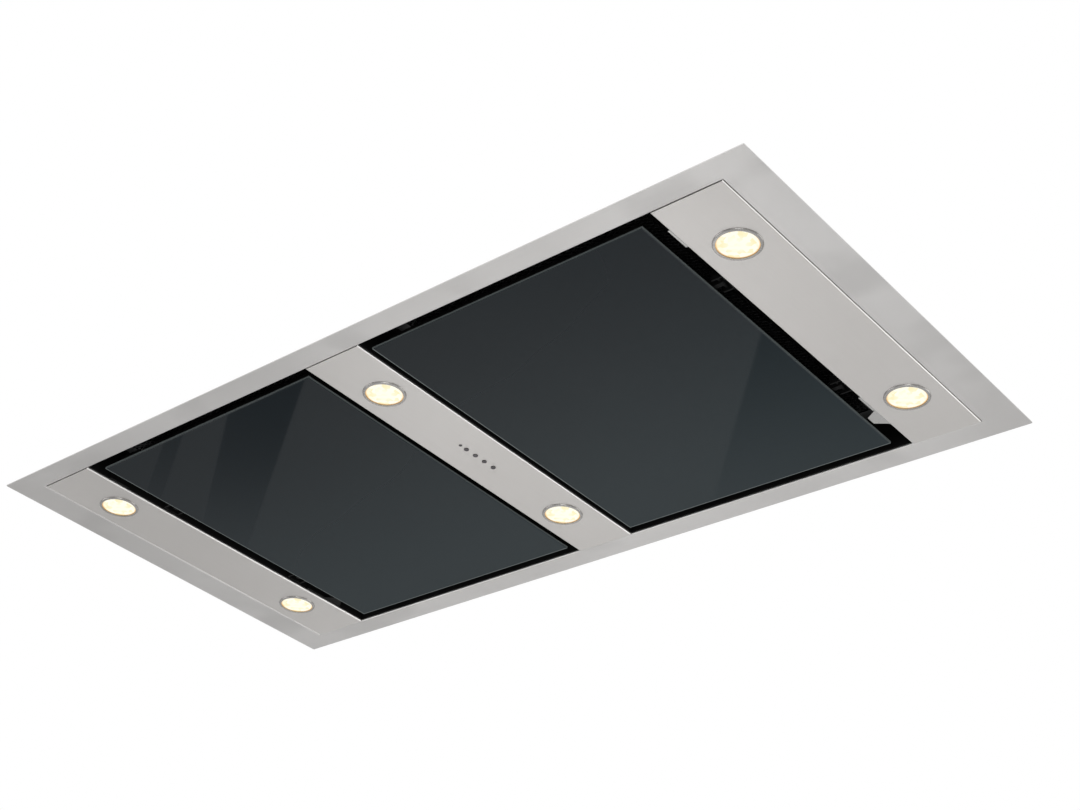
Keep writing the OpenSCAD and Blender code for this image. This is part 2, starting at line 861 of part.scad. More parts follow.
module left_panel_tray() {
    left() right_panel_tray();
}

module right_hinge_pins() {
    color("gray") for (y = [-hinge_y, hinge_y])
        translate([hinge_x, y, hinge_z]) rod_y(pin_len, pin_r);
}

module left_hinge_pins() {
    left() right_hinge_pins();
}

// A bracket on the liner's wall with two ears for the pin
module hinge_bracket() {
    base_x = liner_out - liner_t;
    ear_x = hinge_x - eye_r - bracket_t / 2;
    ear_z0 = liner_z + bracket_t / 2;
    ear_z1 = hinge_z + eye_r + bracket_t;
    difference() {
        union() {
            block(
                [base_x - bracket_t, -ear_gap / 2 - bracket_t, ear_z0],
                [base_x, ear_gap / 2 + bracket_t, ear_z1 + 2 * bracket_t]
            );
            for (side = [0, 1]) mirror([0, side, 0])
                block([ear_x, ear_gap / 2, ear_z0], [base_x, ear_gap / 2 + bracket_t, ear_z1]);
        }
        translate([hinge_x, 0, hinge_z]) rod_y(ear_gap + 4 * bracket_t, pin_r + running_gap);
    }
}

module hinge_brackets() {
    color("#1a1a1a") both_sides() for (y = [-hinge_y, hinge_y])
        translate([0, y, 0]) hinge_bracket();
}

// A clip on the liner's wall from y0 to y1; its foot runs on by extra along Y
module edge_clip(y0, y1, extra) {
    wall_x = liner_out - liner_t;
    block([open_out - clip_reach, y0, liner_z], [wall_x, y1, liner_z + clip_t]);
    block([wall_x - clip_t, y0, liner_z], [wall_x, y1 + extra, liner_z + clip_h]);
}

// The edge clips: the far one ends in a wide tab with slanted sides
module right_edge_clips() {
    wall_x = liner_out - liner_t;
    tip_x = open_out - tab_reach;
    slant = tab_slant_share * tab_len;
    tab_y = far_clip_y + clip_len / 2;
    color("silver") {
        edge_clip(-near_clip_y - clip_len / 2, -near_clip_y + clip_len / 2, 0);
        edge_clip(far_clip_y - clip_len / 2, tab_y, tab_len);
        translate([0, 0, liner_z]) linear_extrude(clip_t) polygon([
            [wall_x, tab_y], [wall_x, tab_y + tab_len],
            [tip_x, tab_y + tab_len - slant], [tip_x, tab_y + slant]
        ]);
    }
}

module left_edge_clips() {
    left() right_edge_clips();
}

// Holders for the magnets that keep a panel shut, on the liner's inner wall
module catch_magnets() {
    color("#101010") both_sides() for (y = [-magnet_y, magnet_y])
        translate([liner_in + liner_t, y - magnet_size.y / 2, tray_top + rest_gap]) cube(magnet_size);
}

// Lamps

module lamp_bezel(i) {
    color("darkgray") translate([lamp_spots[i].x, lamp_spots[i].y, 0]) rotate_extrude() {
        translate([bezel_r - bezel_proud, 0]) intersection() {
            circle(bezel_proud);
            translate([0, -bezel_proud]) square(bezel_proud);
        }
        translate([lens_open_r, -bezel_proud]) square([bezel_lip - bezel_proud, bezel_proud]);
        translate([neck_r - neck_t, -bezel_proud / 2]) square([neck_t, neck_h + bezel_proud / 2]);
    }
}

module lamp_lens(i) {
    color("lightyellow") translate([lamp_spots[i].x, lamp_spots[i].y, 0]) rotate_extrude()
        polygon([
            [0, -lens_drop], [lens_open_r / 2, -lens_drop * 3 / 4], [lens_open_r - rest_gap, 0],
            [lens_r, 0], [lens_r, lens_t], [0, lens_t]
        ]);
}

module lamp_bodies() {
    body_z = lens_t + rest_gap;
    fin_pitch = (lamp_body_h - neck_h) / fin_count;
    color("dimgray") for (spot = lamp_spots) translate([spot.x, spot.y, body_z]) {
        cylinder(h = neck_h, r = lamp_body_r);
        cylinder(h = lamp_body_h, r = lamp_body_r * 2 / 3);
        for (i = [1:fin_count]) translate([0, 0, neck_h + (i - 1 / 2) * fin_pitch])
            cylinder(h = fin_pitch / 2, r = lamp_body_r);
    }
}

module lamp_driver() {
    color("whitesmoke") translate([-side_strip_mid - driver_size.x / 2, -driver_size.y / 2, face_t])
        cube(driver_size);
}

// Controls

module button(i) {
    stem_top = bank_top - button_travel - rest_gap;
    color("dimgray") translate([0, buttons_y[i], 0]) {
        translate([0, 0, -button_proud])
            cylinder(h = button_proud + button_collar_z + button_collar_t, r = button_r);
        translate([0, 0, button_collar_z]) cylinder(h = button_collar_t, r = button_collar_r);
        translate([0, 0, button_collar_z]) cylinder(h = stem_top - button_collar_z, r = stem_r);
    }
}

// The carrier that guides the buttons, standing on the strip on two feet
module button_bank() {
    foot_t = bank_end / 3;
    color("#222222") difference() {
        union() {
            block([-bank_w / 2, bank_y0, bank_z], [bank_w / 2, bank_y1, bank_top]);
            block([-bank_w / 2, bank_y0, face_t], [bank_w / 2, bank_y0 + foot_t, bank_top]);
            block([-bank_w / 2, bank_y1 - foot_t, face_t], [bank_w / 2, bank_y1, bank_top]);
        }
        for (y = buttons_y) translate([0, y, bank_z - cut])
            cylinder(h = bank_h + 2 * cut, r = stem_r + running_gap);
        translate([0, indicator_y, bank_z - cut])
            cylinder(h = bank_h + 2 * cut, r = indicator_r + running_gap);
    }
}

module indicator_light() {
    color("ghostwhite") translate([0, indicator_y, -button_proud / 2])
        cylinder(h = button_proud / 2 + bank_top, r = indicator_r);
}

module control_box() {
    mid_y = (bank_y0 + bank_y1) / 2;
    color("#303030") difference() {
        translate([-control_size.x / 2, mid_y - control_size.y / 2, bank_top]) cube(control_size);
        for (y = [-1, 1]) translate([0, mid_y + y * control_size.y / 2, bank_top + control_size.z / 2])
            cube([control_size.x / 2, bank_end, control_size.z / 2], center = true);
    }
}

// Blower

// A point of the scroll's outline at an angle past the tongue, grown outwards by t
function scroll_point(step, t) =
    let (turn = step / scroll_steps * (360 - tongue_angle))
    let (r = scroll_r0 + scroll_growth * turn / (360 - tongue_angle) + t)
    [shaft_y + r * cos(tongue_angle + turn), shaft_z + r * sin(tongue_angle + turn)];

// The scroll's outline up to its mouth under the casing's top
module scroll_outline(t) {
    top_z = casing_top_z + (t > 0 ? 0 : cut);
    polygon(concat(
        [for (step = [0:scroll_steps]) scroll_point(step, t)],
        [[shaft_y + scroll_r1 + t, top_z], [shaft_y + mouth_y0 - t, top_z]]
    ));
}

module blower_scroll() {
    color("lightslategray") difference() {
        union() {
            along_x(scroll_w + 2 * scroll_t) scroll_outline(scroll_t);
            block(
                [
                    -scroll_w / 2 - mouth_flange_w, shaft_y + mouth_y0 - mouth_flange_w,
                    casing_top_z - scroll_t
                ],
                [
                    scroll_w / 2 + mouth_flange_w, shaft_y + scroll_r1 + mouth_flange_w,
                    casing_top_z
                ]
            );
        }
        along_x(scroll_w) scroll_outline(0);
        translate([0, shaft_y, shaft_z])
            rod_x(-scroll_w, scroll_w, inlet_r + bell_r + sheet_gap);
    }
}

// One rounded inlet: its throat lies inside the scroll and its flange on the side plate
module inlet_ring() {
    plate_x = scroll_w / 2 + scroll_t;
    translate([0, shaft_y, shaft_z]) rotate([0, 90, 0]) translate([0, 0, plate_x]) rotate_extrude() {
        translate([inlet_r + bell_r, -bell_r]) difference() {
            intersection() {
                circle(bell_r);
                translate([-bell_r, 0]) square(bell_r);
            }
            circle(bell_r - scroll_t);
        }
        translate([inlet_r + bell_r - scroll_t, 0]) square([inlet_flange_w + scroll_t, scroll_t]);
        translate([inlet_r + bell_r - scroll_t, -fuse]) square([scroll_t, 2 * fuse]);
    }
}

module inlet_rings() {
    color("darkgray") both_sides() inlet_ring();
}

// A forward-curved blade, drawn in the plane of the wheel; the wheel turns from +Y to +Z
module blade_outline() {
    translate([impeller_r - blade_depth / 2, 0]) rotate(blade_lean) translate([0, blade_curve_r])
        intersection() {
            difference() {
                circle(blade_curve_r);
                circle(blade_curve_r - blade_t);
            }
            translate([-blade_depth / 2, -blade_curve_r]) square([blade_depth, blade_curve_r]);
        }
}

module impeller() {
    color("whitesmoke") translate([0, shaft_y, shaft_z]) {
        along_x(impeller_w) for (i = [0:blade_count - 1])
            rotate(i * 360 / blade_count) blade_outline();
        for (x = [-1, 1]) translate([x * (impeller_w - impeller_ring_t) / 2, 0, 0])
            along_x(impeller_ring_t) difference() {
                circle(impeller_r);
                circle(impeller_r - blade_depth);
            }
        along_x(impeller_ring_t) difference() {
            circle(impeller_r);
            circle(hub_r - fuse);
        }
        along_x(hub_w) difference() {
            circle(hub_r);
            circle(shaft_r);
        }
    }
}

module motor_shaft() {
    color("gray") translate([0, shaft_y, shaft_z])
        rod_x(motor_end - shaft_in_motor, hub_w / 2 + shaft_r, shaft_r);
}

module motor() {
    color("#3a3a3c") translate([0, shaft_y, shaft_z]) difference() {
        union() {
            rod_x(motor_end - motor_len, motor_end, motor_r * motor_cap_share);
            translate([motor_end - motor_len / 2, 0, 0])
                rod_x(-motor_len * motor_band_share / 2, motor_len * motor_band_share / 2, motor_r);
        }
        rod_x(motor_end - shaft_in_motor - shaft_r, motor_end + cut, shaft_r + running_gap);
    }
}

// A clamp ring round the motor on three arms that stand on the scroll's side
module motor_bracket() {
    side_x = -scroll_w / 2 - scroll_t;
    ring_r = motor_r + rest_gap;
    x0 = arm_x - bracket_ring_t / 2;
    reach = arm_reach + bracket_ring_t;
    color("slategray") translate([0, shaft_y, shaft_z]) {
        translate([arm_x, 0, 0]) along_x(arm_w) difference() {
            circle(ring_r + bracket_ring_t);
            circle(ring_r);
        }
        for (turn = [30, 150, 270]) rotate([turn, 0, 0]) {
            block(
                [x0, ring_r + bracket_ring_t / 2, -arm_w / 2],
                [x0 + bracket_ring_t, reach, arm_w / 2]
            );
            block([x0, arm_reach, -arm_w / 2], [side_x, reach, arm_w / 2]);
        }
    }
}

// Duct outlet

module duct_spigot() {
    ledge_z = flap_z - flap_t / 2 - rest_gap - spigot_t;
    color("#202224") difference() {
        union() {
            translate([0, 0, casing_h]) cylinder(h = spigot_h, r = spigot_r);
            translate([0, 0, casing_h]) cylinder(h = spigot_t, r = spigot_r + spigot_flange_w);
        }
        translate([0, 0, ledge_z + spigot_t]) cylinder(h = spigot_h, r = bore_r);
        translate([0, 0, casing_h - cut]) cylinder(h = ledge_z - casing_h + cut, r = bore_r);
        translate([0, 0, casing_h - cut]) cylinder(h = spigot_h, r = bore_r - flap_ledge_w);
        for (y = [-flap_axis_y, flap_axis_y]) translate([0, y, flap_z])
            rod_x(-spigot_r - cut, spigot_r + cut, rod_r + running_gap);
    }
}

// The rear half of the spigot's flap pair, hinged beside the middle
module rear_flap() {
    color("dimgray") {
        translate([0, flap_axis_y, flap_z])
            rod_x(-bore_r - spigot_t / 2, bore_r + spigot_t / 2, rod_r);
        translate([0, 0, flap_z - flap_t / 2]) linear_extrude(flap_t) intersection() {
            circle(flap_r);
            translate([-flap_r, flap_axis_y]) square([2 * flap_r, flap_r]);
        }
    }
}

module front_flap() {
    mirror([0, 1, 0]) rear_flap();
}

// Electrics

// The terminal box's outline, drawn in by some width
module terminal_outline(inwards) {
    round_rect(
        terminal_size.x - 2 * inwards, terminal_size.y - 2 * inwards, terminal_corner_r - inwards
    );
}

module terminal_box() {
    box_h = terminal_size.z - cover_h;
    color("#2b2b2b") translate([terminal_place.x, terminal_place.y, terminal_z]) difference() {
        linear_extrude(box_h) terminal_outline(0);
        translate([0, 0, terminal_t]) linear_extrude(box_h) terminal_outline(terminal_t);
        translate([0, 0, gland_z - terminal_z])
            rod_x(terminal_size.x / 2 - 2 * terminal_t, terminal_size.x, gland_neck_r + sheet_gap);
    }
}

module terminal_cover() {
    color("#2b2b2b") translate([
        terminal_place.x, terminal_place.y, terminal_z + terminal_size.z - cover_h
    ]) difference() {
        linear_extrude(cover_h) terminal_outline(0);
        translate([0, 0, -terminal_t]) linear_extrude(cover_h) terminal_outline(terminal_t);
    }
}

module cable_gland() {
    color("#181818")
        translate([terminal_place.x + terminal_size.x / 2, terminal_place.y, gland_z]) difference() {
            union() {
                rod_x(0, gland_len / 3, gland_r);
                rod_x(gland_len / 4, gland_len, gland_r * gland_nut_share);
                rod_x(-2 * terminal_t, fuse, gland_neck_r);
            }
            rod_x(-3 * terminal_t, gland_len + cut, gland_bore_r);
        }
}

face_frame();
left_strip();
centre_strip();
right_strip();
casing_walls();
casing_top();
top_screws();
hanger_brackets();
left_liner();
right_liner();
left_filter_frame();
right_filter_frame();
left_filter_mesh();
right_filter_mesh();
left_filter_latch();
right_filter_latch();
left_glass();
right_glass();
left_panel_tray();
right_panel_tray();
left_hinge_pins();
right_hinge_pins();
hinge_brackets();
left_edge_clips();
right_edge_clips();
catch_magnets();
blower_scroll();
inlet_rings();
impeller();
motor_shaft();
motor();
motor_bracket();
duct_spigot();
front_flap();
rear_flap();
terminal_box();
terminal_cover();
cable_gland();
control_box();
button_bank();
button(0);  // button_1
button(1);  // button_2
button(2);  // button_3
button(3);  // button_4
indicator_light();
lamp_driver();
lamp_bodies();
lamp_bezel(0);  // lamp_bezel_1
lamp_bezel(1);  // lamp_bezel_2
lamp_bezel(2);  // lamp_bezel_3
lamp_bezel(3);  // lamp_bezel_4
lamp_bezel(4);  // lamp_bezel_5
lamp_bezel(5);  // lamp_bezel_6
lamp_lens(0);  // lamp_lens_1
lamp_lens(1);  // lamp_lens_2
lamp_lens(2);  // lamp_lens_3
lamp_lens(3);  // lamp_lens_4
lamp_lens(4);  // lamp_lens_5
lamp_lens(5);  // lamp_lens_6
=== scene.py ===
"""The looks of a cassette range hood recessed in a ceiling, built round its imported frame."""

import json
import math

import bmesh
import bpy
from mathutils import Matrix, Quaternion, Vector


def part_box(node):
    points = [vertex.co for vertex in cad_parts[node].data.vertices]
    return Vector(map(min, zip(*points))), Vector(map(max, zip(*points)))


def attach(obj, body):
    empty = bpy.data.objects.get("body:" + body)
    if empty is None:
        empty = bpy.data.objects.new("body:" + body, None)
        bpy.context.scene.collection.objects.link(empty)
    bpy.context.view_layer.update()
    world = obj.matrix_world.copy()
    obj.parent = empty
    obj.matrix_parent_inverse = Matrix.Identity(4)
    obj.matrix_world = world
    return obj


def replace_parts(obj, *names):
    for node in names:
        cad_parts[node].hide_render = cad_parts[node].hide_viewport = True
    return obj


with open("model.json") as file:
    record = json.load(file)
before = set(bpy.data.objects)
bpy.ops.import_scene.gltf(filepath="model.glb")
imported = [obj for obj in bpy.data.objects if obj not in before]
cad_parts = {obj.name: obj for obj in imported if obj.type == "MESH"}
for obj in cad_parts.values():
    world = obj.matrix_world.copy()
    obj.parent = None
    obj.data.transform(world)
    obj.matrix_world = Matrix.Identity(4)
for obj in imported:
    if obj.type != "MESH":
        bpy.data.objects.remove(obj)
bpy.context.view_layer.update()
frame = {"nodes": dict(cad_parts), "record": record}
nodes = frame["nodes"]

MM = 0.001

# The camera, below the near right corner of the face, with the photograph's roll
CAMERA_PLACE = (1.2797, -1.3483, -1.1184)
CAMERA_AIM = (0.19, -0.2817, 0.0)
CAMERA_ROLL = math.radians(6.55)
CAMERA_LENS = 56.6
CAMERA_SHIFT = (0.091, -0.1)
CAMERA_SENSOR = 36.0
CAMERA_CLIP = 0.05

# The studio: a floor far below, a ceiling board that the flange lies against, and grey flats
# that the glass mirrors. A flat's azimuths, at the floor and at its top, are those seen from the
# camera. Its tone runs from the first value, up to the lower height, to the second at its top.
FLOOR_DROP = 3.6
FLOOR_SIZE = 40.0
CEILING_SIZE = 12.0
CEILING_CUT_OUT = (1.15, 0.55)
CEILING_GAP = 0.1 * MM
FLAT_DISTANCE = 5.0
FLATS = {
    "wide_flat": ((114.0, 119.1), (117.5, 124.4), (-2.6, -1.75), (0.58, 0.86)),
    "post_flat": ((138.3, 142.9), (141.9, 143.6), (-2.0, -1.35), (0.42, 0.64)),
    "thin_flat": ((142.8, 143.4), (145.5, 146.1), (-2.0, -1.35), (0.44, 0.66)),
}

# The world's soft light on the object, and the white that is seen and mirrored round it
SOFT_STRENGTH = 0.52
SEEN_STRENGTH = 1.0
WHITE = (1.0, 1.0, 1.0, 1.0)

# Soft square lights: place, aim, width, power, and whether shiny surfaces mirror them
FACE_MIDDLE = (0.0, 0.0, 0.0)
LIGHTS = {
    "camera_side": ((2.6, -2.8, -2.4), FACE_MIDDLE, 2.0, 40.0, True),
    "right_side": ((3.3, 3.4, -1.0), FACE_MIDDLE, 3.2, 55.0, True),
    "left_side": ((-3.3, -3.4, -1.0), FACE_MIDDLE, 3.2, 45.0, True),
    "floor_pool": ((-2.7, 3.9, -0.6), (-2.7, 3.9, -FLOOR_DROP), 2.6, 88.0, False),
    "top_soft": ((-1.2, -2.0, 3.4), (0.0, 0.0, 0.2), 3.0, 40.0, True),
}

# The numbers of a colour mixer's sockets
MIX_FACTOR, MIX_LOW, MIX_HIGH, MIX_RESULT = 0, 6, 7, 2

# Surface values that finishes share: the range that a noise covers, how far grain moves the
# roughness, and each bump's strength and depth
NOISE_RANGE = (0.3, 0.7)
METAL_SPREAD = 0.05
COAT_SPREAD = 0.06
BRUSH_BUMP = (0.12, 0.1 * MM)
ROLLING_BUMP = (0.1, 0.1 * MM)
PACK_BUMP = (0.6, 0.4 * MM)
COAT_SKIN_DEPTH = 0.05 * MM
DUST_PATCHES = 9.0
COAT_PATCHES = 14.0

# Sheet metal: its smudges are finer and darker than its clouds, and its bends carry a pale painted
# highlight
SMUDGE_SCALE = 2.3
SMUDGE_SHADE = 0.7
BEND_TILT = (0.998, 0.9)
BEND_HIGHLIGHT = (0.95, 0.94, 0.925)

# Panel glass: the places of its painted highlight lines are shares of its width and depth
GLASS_PAINT = ((0.0015, 0.0055, 0.0085), (0.003, 0.007, 0.010))
# The sheen colour is a painted reflection, which the glass blends to towards its far side
GLASS_PAINTED_SHEEN = (0.012, 0.0215, 0.026)
# The edge colour serves both the ground edges and the painted highlight lines
GLASS_EDGE_AND_HIGHLIGHT = (0.15, 0.17, 0.17)
GLASS_EDGE_COVER = 0.8
GROUND_TILT = (0.9, 0.2)
LEFT_HIGHLIGHT_LINE = (0.0062, 0.0048)
FAR_HIGHLIGHT_LINE = (0.9952, 0.9964)

# Lit lens: radii are shares of its width. Its facets show more towards its rim, which is amber.
LENS_FACETS = 8.5
LENS_GLOW = ((1.03, 1.0, 0.86), (0.98, 0.86, 0.52))
LENS_RIM_GLOW = (0.8, 0.45, 0.15)
LENS_TINT = ((0.05, 0.045, 0.03), (0.08, 0.07, 0.05))
FACET_RADII = (0.12, 0.4)
FACET_SHOW = (0.25, 1.0)
FACET_SHADES = (0.3, 0.9)
RIM_RADII = (0.445, 0.49)

# Filter pack: cells of strands, and how far from a cell's edge a strand reaches
PACK_CELLS = 240.0
PACK_STRAND = (0.14, 0.04)
# The gaps' colour is painted shade between the strands; the strands are dark, partly their own
# finish and partly painted shade
PACK_GAP_SHADE_AND_STRAND = ((0.012, 0.012, 0.013), (0.11, 0.112, 0.115))

# Smooth pieces keep their edges sharp where they turn by more than this
CREASE_ANGLE = math.radians(35.0)

# Grease filters: the layer of expanded sheet under each pack
DIAMOND_W = 12 * MM
DIAMOND_D = 6 * MM
STRAND_W = 1.1 * MM
STRAND_T = 0.5 * MM
LAYER_INSET = 0.4 * MM

# Screw heads: the pan's outline as shares of its radius and height, and the cross recess, whose
# floor is a share of its rim
PAN_OUTLINE = ((1.0, 0.0), (1.0, 0.4), (0.95, 0.7), (0.82, 0.92), (0.6, 1.0))
PAN_SEGMENTS = 24
RECESS_REACH = 0.5
RECESS_HALF_W = 0.12
RECESS_TAPER = 0.8
RECESS_FLOOR = 0.45

# Rivet heads: the angles up the dome at which its outline has points
DOME_ANGLES = (0.0, 0.35, 0.7, 1.05, 1.35)
DOME_SEGMENTS = 20

# Fasteners: each head is a radius and a height
CASING_SCREW_COLUMNS = 5
CASING_SCREW_INSET = 8 * MM
CASING_SCREW_SPIN = 0.7
CASING_SCREW = (3.8 * MM, 2.4 * MM)
CASING_TOP_T = 1 * MM
COLLAR_Z = 13 * MM
COLLAR_OUT = 1.5 * MM
COLLAR_SCREW_INSET = 60 * MM
COLLAR_SCREW_COUNTS = (6, 3)
COLLAR_SCREW = (3.2 * MM, 2.0 * MM)
HANGER_FOOT = (448 * MM, 190 * MM)
HANGER_SCREW_OFFSET = 12 * MM
HANGER_T = 2.5 * MM
COVER_SCREW_INSET = 9 * MM
COVER_SCREW = (3.0 * MM, 1.6 * MM)
SPIGOT_RIVETS = 6
SPIGOT_RIVET_CIRCLE = 84 * MM
SPIGOT_FLANGE_T = 1.2 * MM
RIVET = (3.0 * MM, 1.3 * MM)
EARTH_SCREW_PLACE = (-381 * MM, -239.5 * MM, 14.5 * MM)
EARTH_SCREW = (3.4 * MM, 2.2 * MM)

# Cable gland: outlines of radius and height in millimetres, back from the cap's outer end. The
# hexagon's radii are shares of the gland's own. The flutes run between two of the cap's rings.
GLAND_HEXAGON = ((0.96, -20.0), (1.0, -19.2), (1.0, -14.4), (0.94, -13.4), (0.7, -13.4))
GLAND_THREAD = ((6.7, -24.0), (6.7, -20.0))
GLAND_CAP = (
    (8.2, -13.4), (8.3, -12.6), (8.3, -4.5), (7.9, -2.6), (7.0, -1.0), (6.0, -0.2), (5.6, -0.2),
)
GLAND_SEAL = ((5.6, -0.2), (5.4, -0.6), (4.5, -0.6), (4.5, -24.0), (6.7, -24.0))
GLAND_SEGMENTS = 72
THREAD_SEGMENTS = 32
CAP_FLUTES = 12
FLUTED_RINGS = slice(1, 3)
FLUTE_START = -0.3
FLUTE_DEPTH = 0.045

# Lamp lenses: rings of shallow pebbles on a pressed dome, inside a flat seat
LAMPS = 6
LENS_OPEN_R = 23.1 * MM
LENS_RINGS = 13
LENS_SEGMENTS = 60
LENS_DOME = 0.8
PEBBLE = 0.16 * MM


# Node trees

def place(tree, kind, inputs=None, **settings):
    """A new shader node with its settings made and its inputs set or wired."""
    node = tree.nodes.new(kind)
    for name, value in settings.items():
        setattr(node, name, value)
    for name, value in (inputs or {}).items():
        if isinstance(value, bpy.types.NodeSocket):
            tree.links.new(value, node.inputs[name])
        else:
            node.inputs[name].default_value = value
    return node


def new_group(name, inputs, outputs):
    """An empty shader group, with float or vector inputs and float outputs, and its end nodes."""
    tree = bpy.data.node_groups.new(name, "ShaderNodeTree")
    for socket, value in inputs.items():
        kind = "NodeSocketVector" if isinstance(value, tuple) else "NodeSocketFloat"
        made = tree.interface.new_socket(socket, in_out="INPUT", socket_type=kind)
        made.default_value = value
    for socket in outputs:
        tree.interface.new_socket(socket, in_out="OUTPUT", socket_type="NodeSocketFloat")
    return tree, tree.nodes.new("NodeGroupInput"), tree.nodes.new("NodeGroupOutput")


def use(tree, group, **inputs):
    """A group placed in a material's tree."""
    return place(tree, "ShaderNodeGroup", inputs, node_tree=group)


def even(scale):
    """The same scale along all three axes."""
    return (scale, scale, scale)


def calculate(tree, operation, *values):
    """The result of one operation on its values."""
    return place(tree, "ShaderNodeMath", dict(enumerate(values)), operation=operation).outputs[0]


def times(tree, first, second):
    """The product of two values."""
    return calculate(tree, "MULTIPLY", first, second)


def larger(tree, first, second):
    """The larger of two values."""
    return calculate(tree, "MAXIMUM", first, second)


def vector_math(tree, operation, *vectors):
    """A node that works on vectors."""
    return place(tree, "ShaderNodeVectorMath", dict(enumerate(vectors)), operation=operation)


def coordinates(tree, kind):
    """One kind of texture coordinates: Object, Normal or Generated."""
    return place(tree, "ShaderNodeTexCoord").outputs[kind]


def axes(tree, vector):
    """The X, Y and Z of a vector."""
    return place(tree, "ShaderNodeSeparateXYZ", {"Vector": vector}).outputs


def scaled_noise(tree, scale, detail, roughness=0.55):
    """Noise over the object's own coordinates, which a vector socket scales."""
    stretched = vector_math(tree, "MULTIPLY", coordinates(tree, "Object"), scale)
    return place(tree, "ShaderNodeTexNoise", {
        "Vector": stretched.outputs[0], "Scale": 1.0, "Detail": detail, "Roughness": roughness,
    }).outputs["Fac"]


def cell_shade(tree, where, scale):
    """A shade of its own for each cell of a pattern of cells."""
    cells = place(tree, "ShaderNodeTexVoronoi", {"Vector": where, "Scale": scale})
    shade = place(tree, "ShaderNodeSeparateColor", {"Color": cells.outputs["Color"]})
    return shade.outputs["Red"]


def between(tree, value, low, high, to_low=0.0, to_high=1.0):
    """A value mapped from one range to another, without overshoot."""
    return place(tree, "ShaderNodeMapRange", {
        "Value": value, "From Min": low, "From Max": high, "To Min": to_low, "To Max": to_high,
    }, interpolation_type="SMOOTHSTEP").outputs["Result"]


def facing_up(tree):
    """The surface normal's height, in the object's own coordinates."""
    return axes(tree, coordinates(tree, "Normal"))["Z"]


def lying_flat(tree):
    """One where a face looks straight up or down, and nothing where it stands upright."""
    return calculate(tree, "ABSOLUTE", facing_up(tree))


def grain_group():
    """Stretched noise: brush lines, rolling marks or the fine skin of a coat."""
    tree, given, out = new_group("surface_grain", {"Scale": even(1.0)}, ["Height"])
    noise = scaled_noise(tree, given.outputs["Scale"], detail=3.0)
    tree.links.new(noise, out.inputs["Height"])
    return tree


def cloud_group():
    """Large soft patches, as handling and rolling leave on a sheet."""
    tree, given, out = new_group("soft_clouds", {"Scale": even(1.0)}, ["Mask"])
    noise = scaled_noise(tree, given.outputs["Scale"], detail=2.0, roughness=0.5)
    tree.links.new(between(tree, noise, *NOISE_RANGE), out.inputs["Mask"])
    return tree


def spangle_group():
    """The flat crystals of hot-dip galvanised sheet."""
    tree, given, out = new_group("zinc_spangle", {"Scale": 90.0}, ["Mask"])
    shade = cell_shade(tree, coordinates(tree, "Object"), given.outputs["Scale"])
    tree.links.new(shade, out.inputs["Mask"])
    return tree


def dust_group():
    """Fine dust on faces that look up, as a mask."""
    tree, given, out = new_group("top_dust", {"Amount": 0.3}, ["Mask"])
    scale = place(tree, "ShaderNodeCombineXYZ", dict.fromkeys("XYZ", DUST_PATCHES)).outputs[0]
    patches = between(tree, scaled_noise(tree, scale, detail=5.0, roughness=0.7), 0.35, 0.75)
    lying = times(tree, between(tree, facing_up(tree), 0.6, 1.0), patches)
    tree.links.new(times(tree, lying, given.outputs["Amount"]), out.inputs["Mask"])
    return tree


GRAIN = grain_group()
CLOUDS = cloud_group()
SPANGLE = spangle_group()
DUST = dust_group()


# Materials

def new_material(name, roughness=0.5, metallic=0.0, **sockets):
    """A material, its tree and its shader, with constant sockets set on the shader itself."""
    material = bpy.data.materials.new(name)
    material.use_nodes = True
    tree = material.node_tree
    shader = tree.nodes["Principled BSDF"]
    shader.inputs["Roughness"].default_value = roughness
    shader.inputs["Metallic"].default_value = metallic
    for socket, value in sockets.items():
        shader.inputs[socket.replace("_", " ")].default_value = value
    return material, tree, shader


def empty_material(name):
    """A material and its tree, with no shader in it yet."""
    material = bpy.data.materials.new(name)
    material.use_nodes = True
    material.node_tree.nodes.clear()
    return material, material.node_tree


def feed(tree, shader, sockets):
    """Wires what changes over the surface to the shader."""
    for name, value in sockets.items():
        tree.links.new(value, shader.inputs[name])


def opaque(colour):
    """A colour with its alpha, or a colour socket as it is."""
    return colour if isinstance(colour, bpy.types.NodeSocket) else (*colour, 1.0)


def mix_colour(tree, factor, low, high):
    """A colour between two, each a colour or a colour socket."""
    return place(tree, "ShaderNodeMix", {
        MIX_FACTOR: factor, MIX_LOW: opaque(low), MIX_HIGH: opaque(high),
    }, data_type="RGBA").outputs[MIX_RESULT]


def bump(tree, shader, height, strength, distance):
    """Feeds a height to the shader's normal."""
    node = place(tree, "ShaderNodeBump", {
        "Height": height, "Strength": strength, "Distance": distance,
    })
    feed(tree, shader, {"Normal": node.outputs["Normal"]})


def varied(tree, grain, middle, spread_by):
    """A value that grain moves up and down round its middle."""
    return between(tree, grain, *NOISE_RANGE, middle - spread_by, middle + spread_by)


